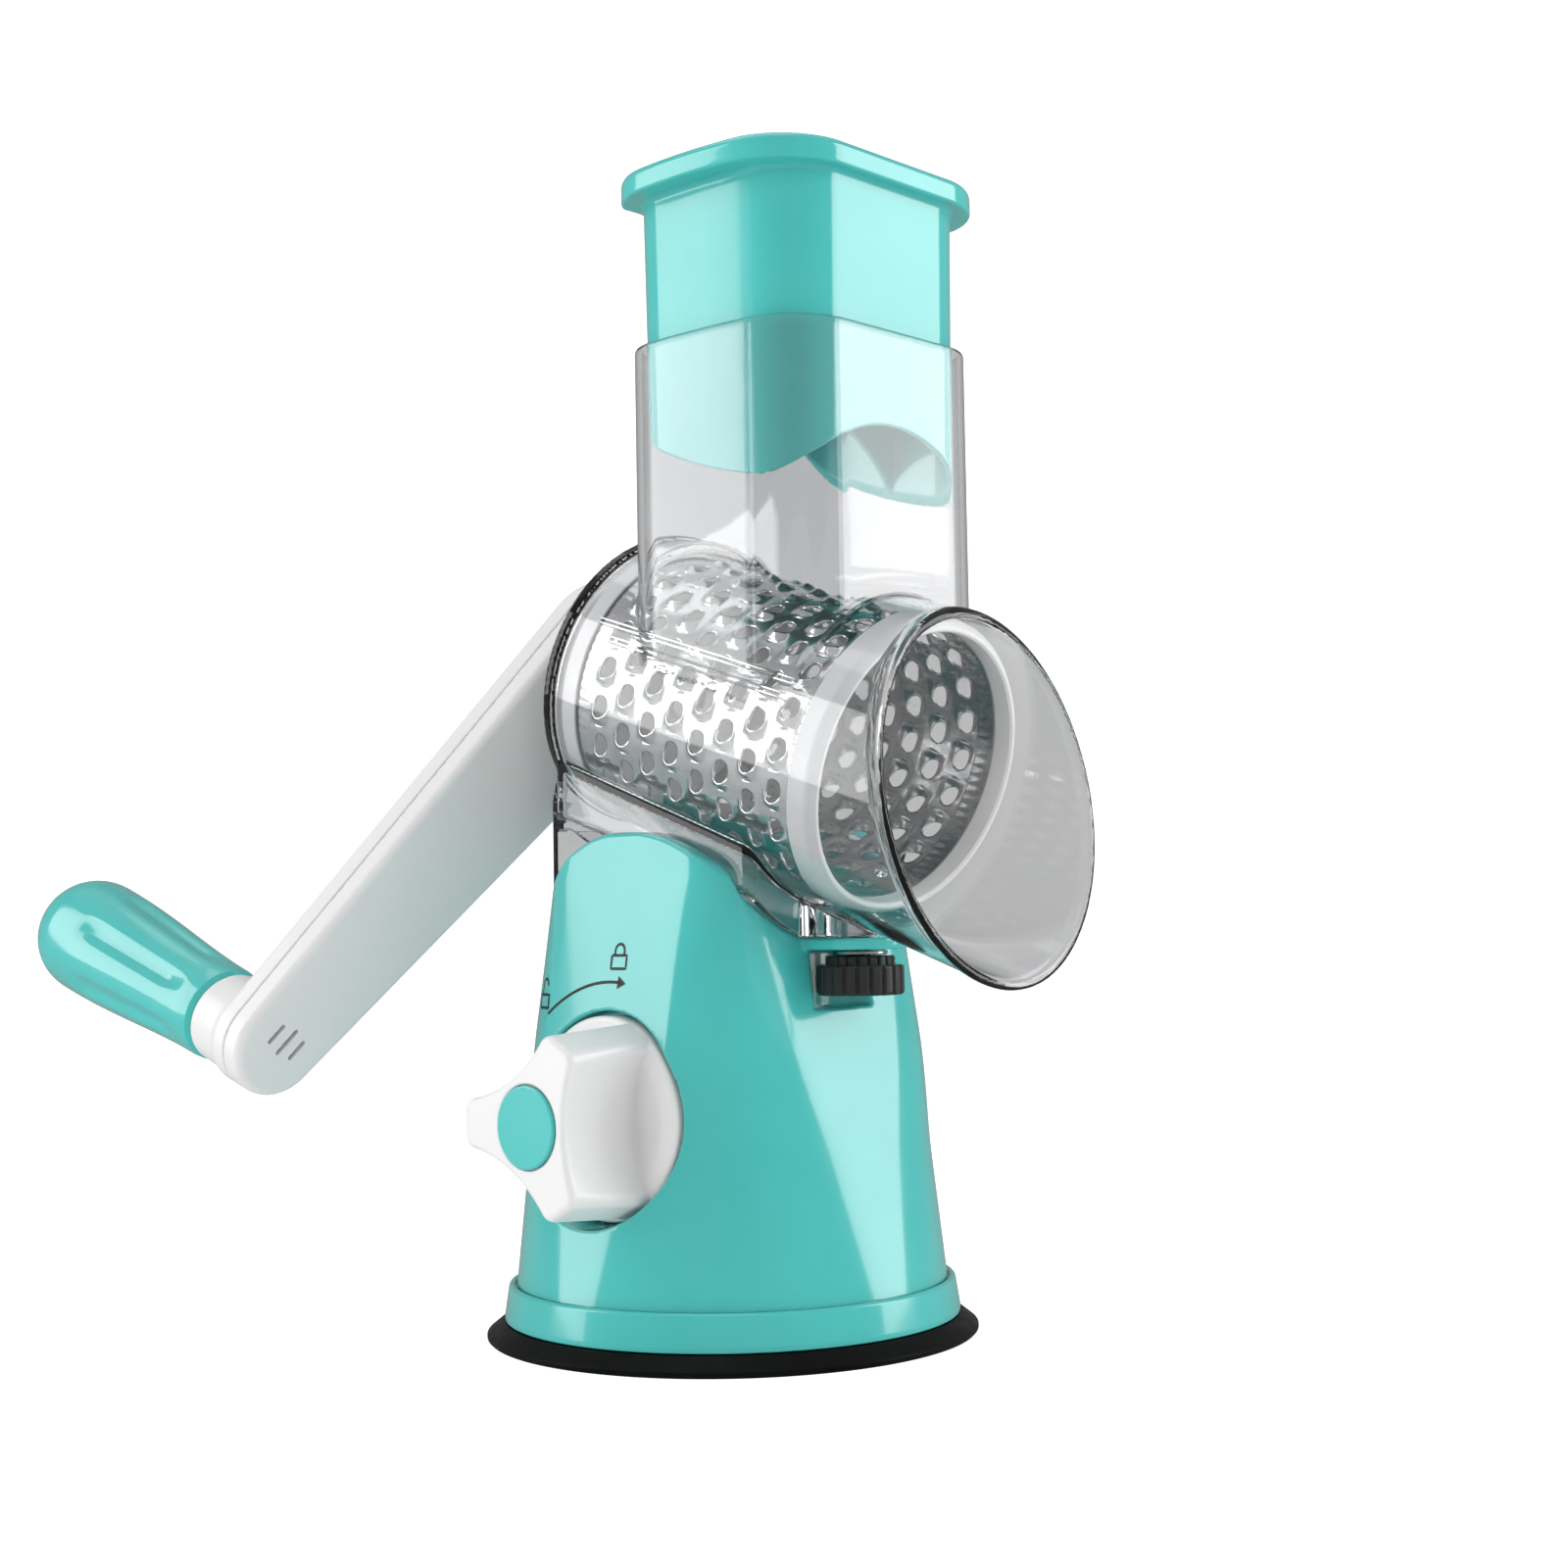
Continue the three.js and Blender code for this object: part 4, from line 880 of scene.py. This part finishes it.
def screw(name, place, face, neck, tip, head_r, shank_r):
    """A screw along local Z: a head with a cross recess, from its face to its neck, and a threaded shank."""
    profile = [(0, face), (head_r, face, 0.3), (head_r, neck, 0.15), (shank_r * 0.78, neck)]
    turns = int(abs(tip - neck) / 0.9)
    for k in range(turns):
        profile.append((shank_r * 0.78, lerp(neck, tip, (k + 0.2) / turns)))
        profile.append((shank_r, lerp(neck, tip, (k + 0.6) / turns)))
    profile += [(shank_r * 0.3, tip), (0, tip)]
    return recessed(spun(name, profile, place, 40), place, face, (neck - face) * 0.5, head_r * 0.62)


# ------------------------ print beside the knob
def arc_point(angle, radius):
    return radius * math.cos(angle), KNOB_Z + radius * math.sin(angle)


def strip(path, width):
    """Outline of a line of that width along a path in the XZ plane."""
    left, right = [], []
    for i, (x, z) in enumerate(path):
        ax, az = path[max(i - 1, 0)]
        bx, bz = path[min(i + 1, len(path) - 1)]
        length = math.hypot(bx - ax, bz - az)
        nx, nz = -(bz - az) / length * width / 2, (bx - ax) / length * width / 2
        left.append((x + nx, z + nz))
        right.append((x - nx, z - nz))
    return left, right


def printed(name, lines, outlines):
    """Marks laid on the body's -Y side, 0.03 mm clear of it: lines as (path, width) and filled outlines."""
    verts, faces = [], []
    for path, width in lines:
        base, count = len(verts), len(path)
        left, right = strip(path, width)
        verts += left + right
        faces += [(base + k, base + count + k, base + count + k + 1, base + k + 1) for k in range(count - 1)]
    for outline in outlines:
        faces.append([*range(len(verts), len(verts) + len(outline))])
        verts += outline
    x, z = np.array(verts).T
    placed = np.stack([x, surface_y(x, z) - 0.03, z], axis=1)
    mesh = bpy.data.meshes.new(name)
    mesh.from_pydata((placed * MM).tolist(), [], faces)
    return show(name, mesh)


def surface_y(x, z):
    """Y of the body's -Y side at that place, by bisection of its field."""
    near, far = np.full_like(x, -70.0), np.zeros_like(x)
    for _ in range(30):
        middle = (near + far) / 2
        inside = tapered_body(x, middle, z, 0) < 0
        far = np.where(inside, middle, far)
        near = np.where(inside, near, middle)
    return near


def fine(points, gap=0.8):
    """The same path with points added along its straight runs."""
    path = [points[0]]
    for a, b in zip(points, points[1:]):
        count = max(1, int(math.hypot(b[0] - a[0], b[1] - a[1]) / gap))
        path += [(lerp(a[0], b[0], k / count), lerp(a[1], b[1], k / count)) for k in range(1, count + 1)]
    return path


def padlock(x, z, size, opened):
    """Strips of a padlock's outline and its shackle, which is lifted when open."""
    w, h = size * 0.5, size * 0.62
    body = fine([(x - w, z), (x + w, z), (x + w, z - h), (x - w, z - h), (x - w, z)])
    lift = size * 0.22 if opened else 0
    bow = [(x + w * 0.62 * math.cos(t), z + lift + size * 0.22 + w * 0.62 * math.sin(t))
           for t in np.linspace(0, math.pi, 13)]
    right = [] if opened else [(x + w * 0.62, z)]
    return [(body, 0.75), (right + bow + [(x - w * 0.62, z)], 0.75)]


def lock_marks():
    """A double-headed arc about the knob, from an open padlock to a closed one."""
    radius = 34.2
    start, end = math.radians(131), math.radians(84)
    arc = [arc_point(t, radius) for t in np.linspace(start, end, 40)]
    heads = []
    for angle, way in ((start, 1), (end, -1)):
        back = [arc_point(angle - way * 0.035, radius + half) for half in (-1.7 * way, 1.7 * way)]
        heads.append([arc_point(angle + way * 0.055, radius), *back])
    marks = [(arc, 0.8)]
    marks += padlock(2.0, 99.8, 5.4, False)
    marks += padlock(-25.6, 89.6, 5.4, True)
    return printed("turning_marks", marks, heads)


# ------------------------ materials
def node_material(name):
    material = bpy.data.materials.new(name)
    material.use_nodes = True
    tree = material.node_tree
    tree.nodes.clear()
    out = tree.nodes.new("ShaderNodeOutputMaterial")
    shader = tree.nodes.new("ShaderNodeBsdfPrincipled")
    tree.links.new(shader.outputs[0], out.inputs[0])
    return material, tree, shader


def noise(tree, scale, detail=3.0, rough=0.5, stretch=(1, 1, 1)):
    place = tree.nodes.new("ShaderNodeTexCoord")
    fit = tree.nodes.new("ShaderNodeMapping")
    fit.inputs["Scale"].default_value = stretch
    grain = tree.nodes.new("ShaderNodeTexNoise")
    grain.inputs["Scale"].default_value = scale
    grain.inputs["Detail"].default_value = detail
    grain.inputs["Roughness"].default_value = rough
    tree.links.new(place.outputs["Object"], fit.inputs["Vector"])
    tree.links.new(fit.outputs[0], grain.inputs["Vector"])
    return grain.outputs["Fac"]


def spread(tree, value, low, high, start=0.3, end=0.7):
    """That value mapped onto the range low..high."""
    remap = tree.nodes.new("ShaderNodeMapRange")
    for socket, number in zip(remap.inputs[1:5], (start, end, low, high)):
        socket.default_value = number
    tree.links.new(value, remap.inputs[0])
    return remap.outputs[0]


def shaded(tree, value, dark, light, start=0.3, end=0.7):
    ramp = tree.nodes.new("ShaderNodeValToRGB")
    ramp.color_ramp.elements[0].position, ramp.color_ramp.elements[1].position = start, end
    ramp.color_ramp.elements[0].color, ramp.color_ramp.elements[1].color = (*dark, 1), (*light, 1)
    tree.links.new(value, ramp.inputs[0])
    return ramp.outputs[0]


def multiplied(tree, a, b):
    """The product of two colours."""
    mix = tree.nodes.new("ShaderNodeMixRGB")
    mix.blend_type = "MULTIPLY"
    mix.inputs[0].default_value = 1.0
    tree.links.new(a, mix.inputs[1])
    tree.links.new(b, mix.inputs[2])
    return mix.outputs[0]


def bumped(tree, shader, *layers):
    """Bump layers as pairs of a height and its depth in metres."""
    last = None
    for height, depth in layers:
        bump = tree.nodes.new("ShaderNodeBump")
        bump.inputs["Strength"].default_value = 1.0
        bump.inputs["Distance"].default_value = depth
        tree.links.new(height, bump.inputs["Height"])
        if last:
            tree.links.new(last, bump.inputs["Normal"])
        last = bump.outputs[0]
    tree.links.new(last, shader.inputs["Normal"])


def moulded(name, dark, light, gloss, coat=0.0, scatter=0.0, grain_depth=0.000004, waves=0.00006):
    """Injection-moulded plastic: faint clouding, fine grain, and long soft waves from cooling."""
    material, tree, shader = node_material(name)
    cloud = noise(tree, 28, 4, 0.55)
    wear = noise(tree, 70, 2, 0.5)
    tree.links.new(shaded(tree, cloud, dark, light), shader.inputs["Base Color"])
    tree.links.new(spread(tree, wear, gloss[0], gloss[1]), shader.inputs["Roughness"])
    shader.inputs["IOR"].default_value = 1.5
    shader.inputs["Coat Weight"].default_value = coat
    shader.inputs["Coat Roughness"].default_value = 0.08
    shader.inputs["Subsurface Weight"].default_value = scatter
    shader.inputs["Subsurface Radius"].default_value = (0.6, 1.0, 1.0)
    shader.inputs["Subsurface Scale"].default_value = 0.002
    bumped(tree, shader, (noise(tree, 2600, 2), grain_depth), (noise(tree, 30, 2), waves))
    return material


def clear_plastic():
    """Clear plastic: faint waves and rubbed patches, with painted shade that darkens it where it is seen edge on;
    shadow rays pass.
    """
    material, tree, shader = node_material("clear_plastic")
    out = tree.nodes["Material Output"]
    shader.inputs["Transmission Weight"].default_value = 1.0
    shader.inputs["IOR"].default_value = 1.49
    tint = shaded(tree, noise(tree, 18, 3), (0.942, 0.947, 0.957), (0.97, 0.974, 0.98))
    edge_shade_mask = tree.nodes.new("ShaderNodeLayerWeight")
    # painted shade: the colour turns dark grey where the surface is seen edge on, in place of dark reflections
    edge = shaded(tree, edge_shade_mask.outputs["Facing"], (1, 1, 1), (0.2, 0.21, 0.22), 0.62, 0.94)
    tree.links.new(multiplied(tree, tint, edge), shader.inputs["Base Color"])
    tree.links.new(spread(tree, noise(tree, 90, 5, 0.6), 0.012, 0.05), shader.inputs["Roughness"])
    bumped(tree, shader, (noise(tree, 22, 2), 0.00012), (noise(tree, 900, 2), 0.0000015))
    path = tree.nodes.new("ShaderNodeLightPath")
    clear = tree.nodes.new("ShaderNodeBsdfTransparent")
    clear.inputs["Color"].default_value = (0.9, 0.91, 0.92, 1)
    mix = tree.nodes.new("ShaderNodeMixShader")
    tree.links.new(path.outputs["Is Shadow Ray"], mix.inputs[0])
    tree.links.new(shader.outputs[0], mix.inputs[1])
    tree.links.new(clear.outputs[0], mix.inputs[2])
    tree.links.new(mix.outputs[0], out.inputs[0])
    return material


def metal(name, dark, light, gloss, brush, brush_scale, depth=0.000006):
    """Metal with a rolled or turned grain and faint smears."""
    material, tree, shader = node_material(name)
    grain = noise(tree, brush_scale, 4, 0.6, brush)
    smear = noise(tree, 60, 4, 0.6)
    tree.links.new(shaded(tree, smear, dark, light), shader.inputs["Base Color"])
    tree.links.new(spread(tree, grain, gloss[0], gloss[1]), shader.inputs["Roughness"])
    shader.inputs["Metallic"].default_value = 1.0
    bumped(tree, shader, (grain, depth), (noise(tree, 45, 2), 0.00004))
    return material


def rubber():
    material, tree, shader = node_material("black_rubber")
    cloud = noise(tree, 50, 5, 0.65)
    black = shaded(tree, cloud, (0.002, 0.0024, 0.0023), (0.0045, 0.005, 0.0047))
    tree.links.new(black, shader.inputs["Base Color"])
    tree.links.new(spread(tree, noise(tree, 240, 4, 0.6), 0.32, 0.5), shader.inputs["Roughness"])
    shader.inputs["Specular IOR Level"].default_value = 0.1
    bumped(tree, shader, (noise(tree, 1800, 3), 0.00001), (noise(tree, 40, 3), 0.0001))
    return material


TEAL = (0.055, 0.485, 0.46), (0.068, 0.52, 0.49)
WHITE = (0.77, 0.765, 0.762), (0.79, 0.785, 0.782)
GREY = (0.32, 0.33, 0.34), (0.38, 0.39, 0.4)
BLACK = (0.016, 0.017, 0.0165), (0.024, 0.025, 0.024)
INK = (0.004, 0.008, 0.008), (0.008, 0.012, 0.012)
SHEET = (0.6, 0.605, 0.61), (0.7, 0.7, 0.7)
STEEL = (0.5, 0.505, 0.51), (0.6, 0.6, 0.6)


def make_materials():
    return {
        "teal_plastic": moulded("teal_plastic", *TEAL, (0.16, 0.22), 0.8, 0.1),
        "white_plastic": moulded("white_plastic", *WHITE, (0.28, 0.31), 0.15, 0.1, waves=0.00002),
        "grey_plastic": moulded("grey_plastic", *GREY, (0.35, 0.5)),
        "black_plastic": moulded("black_plastic", *BLACK, (0.3, 0.42), grain_depth=0.00001),
        "print_ink": moulded("print_ink", *INK, (0.4, 0.5)),
        "clear_plastic": clear_plastic(),
        "black_rubber": rubber(),
        "drum_steel": metal("drum_steel", *SHEET, (0.1, 0.2), (1, 1, 12), 160),
        "shaft_steel": metal("shaft_steel", *STEEL, (0.16, 0.3), (12, 12, 1), 200),
    }


# ------------------------ assembly
MATERIALS = make_materials()
SLOTS = {row["node"]: row["material_slot"] for row in frame["record"]["subparts"]}
BODIES = {node: body for body, nodes in frame["record"]["behaviour"]["bodies"].items() for node in nodes}


def stands_for(piece, node, slot=None, finish=None):
    """Puts a finished piece in place of a CAD node, on its body and, unless told otherwise, in its slot."""
    slot = slot or SLOTS[node]
    piece.data.materials.clear()
    piece.data.materials.append(MATERIALS[finish or slot])
    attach(piece, BODIES[node])
    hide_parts(node)


def kept(node, bevel=0.3):
    """A CAD node that stays: softened edges and a finish of its own."""
    piece = frame["nodes"][node]
    piece.data.materials.clear()
    piece.data.materials.append(MATERIALS[SLOTS[node]])
    edge = piece.modifiers.new("soft edges", "BEVEL")
    edge.width = bevel * MM
    edge.segments = 3
    edge.limit_method = "ANGLE"
    edge.angle_limit = math.radians(28)
    edge.harden_normals = True


def build_base():
    stands_for(grown("base_body", "base_shell", base_shell_field, 0.8, 0.35), "base_shell")
    stands_for(lock_marks(), "base_shell", "black_plastic", "print_ink")
    stands_for(bottom_plate(), "bottom_plate")
    stands_for(suction_pad(), "suction_pad")


def build_screws():
    """Every screw takes the name of its CAD node, with "fastener" in place of "screw"."""
    back = ARM_BACK + 0.1
    rows = [
        ("shaft_screw", ON_DRUM_AXIS, (back, back + 1.2, back + 13.9, 4, 1.6)),
        ("knob_screw", ON_KNOB_AXIS, (-70.3, -67.1, -56, 3.4, 1.5)),
    ]
    for k, distance in enumerate(ARM_SCREWS):
        spot = Matrix.Translation((distance * math.sin(ARM_ANGLE), -distance * math.cos(ARM_ANGLE), 0))
        size = (back + 0.1, back + 1.2, ARM_SEAM + 4.5, 2.8, 0.8)
        rows.append((f"arm_screw_{k + 1}", ON_DRUM_AXIS @ spot, size))
    for k, (x, y) in enumerate(((1, 1), (-1, 1), (-1, -1), (1, -1))):
        spot = Matrix.Translation((x * SCREW_REACH, y * SCREW_REACH, 0))
        rows.append((f"base_screw_{k + 1}", spot, (8.7, 11.4, 27, 3.6, 1.6)))
    for k, (x, y) in enumerate(((1, 1), (1, -1), (-1, 1), (-1, -1))):
        spot = Matrix.Translation((x * BRACKET_X, y * BRACKET_Y, 0))
        rows.append((f"bracket_screw_{k + 1}", spot, (19.4, 17.6, 12.3, 2.8, 0.85)))
    for node, place, size in rows:
        stands_for(screw(node.replace("screw", "fastener"), place, *size), node)


def build_lock():
    stands_for(grown("lock_knob", "knob", knob_field, 0.5), "knob")
    stands_for(knob_cap(), "knob_cap")


def build_housing():
    stands_for(grown("clear_housing", "housing", housing_field, 0.8), "housing")
    stands_for(barrel_ridges(), "housing")
    stands_for(rear_bush(), "rear_bush")
    stands_for(clamp_ring("threaded_insert", "clamp_insert", 2.8, 4.6, 64), "clamp_insert")
    stands_for(clamp_knob(), "clamp_knob")
    stands_for(clamp_stud(), "clamp_stud")
    stands_for(clamp_ring("clamp_disc", "clamp_washer", 3, 7, 96), "clamp_washer")


def build_drum():
    stands_for(drum_shell(), "drum_shell")
    stands_for(drum_front_ring(), "drum_front_ring")
    stands_for(drum_rear_hub(), "drum_rear_hub")


def build_crank():
    round_slots = ((-76.5, -98.5, 73), (-66, -81, 85), 0.3)
    stands_for(grown("arm_front_half", "arm_front", arm_front_field, 0.7, 0.4, round_slots), "arm_front")
    stands_for(grown("arm_rear_half", "arm_rear", arm_rear_field, 0.7), "arm_rear")
    stands_for(drive_shaft(), "drive_shaft")
    stands_for(grip_axle(), "grip_axle")
    stands_for(grip(), "grip")


build_base()
build_screws()
build_lock()
build_housing()
build_drum()
build_crank()
stands_for(grown("food_pusher", "pusher", pusher_field, 0.7), "pusher")
for node, piece in frame["nodes"].items():
    if not piece.hide_render:
        kept(node)


# ------------------------ studio
FLOOR_GLOW, FLOOR_MIRRORED = 0.9, 0.1         # the floor's glow as the camera and as a mirror see it
FLOOR_BOUNCE, FLOOR_THROUGH = 0.58, 0.66      # how much it dims as soft light, and through glass
LIT_SPOT = (0.0, 0.0, 0.2)


def studio_floor():
    reach, bend = 2600, 900
    sweep = [(reach * k / 12, 0) for k in range(12)]
    rising = np.linspace(0, math.pi / 2, 16)
    sweep += [(reach + bend * math.sin(t), bend * (1 - math.cos(t))) for t in rising]
    sweep.append((reach + bend, 4000))
    count = 72
    turns = [k * 2 * math.pi / count for k in range(count)]
    verts = [(0, 0, 0)] + [(r * math.cos(t), r * math.sin(t), z) for r, z in sweep[1:] for t in turns]
    faces = [(0, 1 + k, 1 + (k + 1) % count) for k in range(count)]
    faces += [quad[::-1] for quad in ring_quads(1, count, len(sweep) - 1)]
    floor = built("studio_floor", verts, faces)
    floor.data.materials.append(floor_finish())


def floor_finish():
    """Pale floor that glows; its glow reaches the pieces dimmed, so that they keep their contrast."""
    material, tree, shader = node_material("studio_floor")
    tree.links.new(spread(tree, noise(tree, 60, 3), 0.55, 0.65), shader.inputs["Roughness"])
    shader.inputs["Emission Color"].default_value = (1, 1, 1, 1)
    path = tree.nodes.new("ShaderNodeLightPath")
    lit = tree.nodes.new("ShaderNodeMath")
    lit.operation = "MAXIMUM"
    tree.links.new(path.outputs["Is Glossy Ray"], lit.inputs[0])
    tree.links.new(spread(tree, path.outputs["Is Diffuse Ray"], 0, FLOOR_BOUNCE, 0, 1), lit.inputs[1])
    dim = tree.nodes.new("ShaderNodeMath")
    dim.operation = "MULTIPLY"
    tree.links.new(lit.outputs[0], dim.inputs[0])
    tree.links.new(spread(tree, path.outputs["Is Transmission Ray"], 1, FLOOR_THROUGH, 0, 1), dim.inputs[1])
    glow = spread(tree, dim.outputs[0], FLOOR_GLOW, FLOOR_MIRRORED, 0, 1)
    tree.links.new(glow, shader.inputs["Emission Strength"])
    grey = multiplied(
        tree,
        shaded(tree, noise(tree, 3, 3), (0.53, 0.53, 0.53), (0.55, 0.55, 0.55)),
        shaded(tree, path.outputs["Is Glossy Ray"], (1, 1, 1), (0.3, 0.3, 0.3), 0, 1),
    )
    tree.links.new(grey, shader.inputs["Base Color"])
    return material


def area_light(name, place, size, power):
    lamp = bpy.data.lights.new(name, "AREA")
    lamp.shape = "RECTANGLE"
    lamp.size, lamp.size_y = size
    lamp.energy = power
    holder = bpy.data.objects.new(name, lamp)
    bpy.context.scene.collection.objects.link(holder)
    holder.location = place
    holder.rotation_euler = (Vector(LIT_SPOT) - Vector(place)).to_track_quat("-Z", "Y").to_euler()


def studio_light():
    world = bpy.data.worlds.new("studio")
    bpy.context.scene.world = world
    world.use_nodes = True
    back = world.node_tree.nodes["Background"]
    back.inputs["Color"].default_value = (0.97, 0.985, 1.0, 1)
    back.inputs["Strength"].default_value = 0.45
    area_light("left softbox", (-0.78, -0.80, 0.5), (0.5, 0.95), 4.2)
    area_light("right softbox", (0.80, 0.74, 0.5), (0.5, 0.95), 5.0)
    area_light("top", (-0.2, -0.1, 1.6), (1.2, 1.2), 3.6)


def photo_camera():
    """Camera at the photo's angle: turned about Z, tipped slightly up and rolled slightly."""
    turn, tip, roll = math.radians(42.308), math.radians(3.055), math.radians(-1.025)
    ahead = Vector((-math.sin(turn) * math.cos(tip), math.cos(turn) * math.cos(tip), math.sin(tip)))
    right = Vector((math.cos(turn), math.sin(turn), 0))
    upward = right.cross(ahead)
    side = right * math.cos(roll) + upward * math.sin(roll)
    over = upward * math.cos(roll) - right * math.sin(roll)
    lens = bpy.data.cameras.new("photo_camera")
    lens.lens, lens.sensor_width = 52.2, 36.0
    holder = bpy.data.objects.new("photo_camera", lens)
    bpy.context.scene.collection.objects.link(holder)
    turned = Matrix((side, over, -ahead)).transposed().to_4x4()
    holder.matrix_world = Matrix.Translation((0.4215, -0.4395, 0.1117)) @ turned
    bpy.context.scene.camera = holder


studio_floor()
studio_light()
photo_camera()
bpy.context.scene.view_settings.view_transform = "Standard"
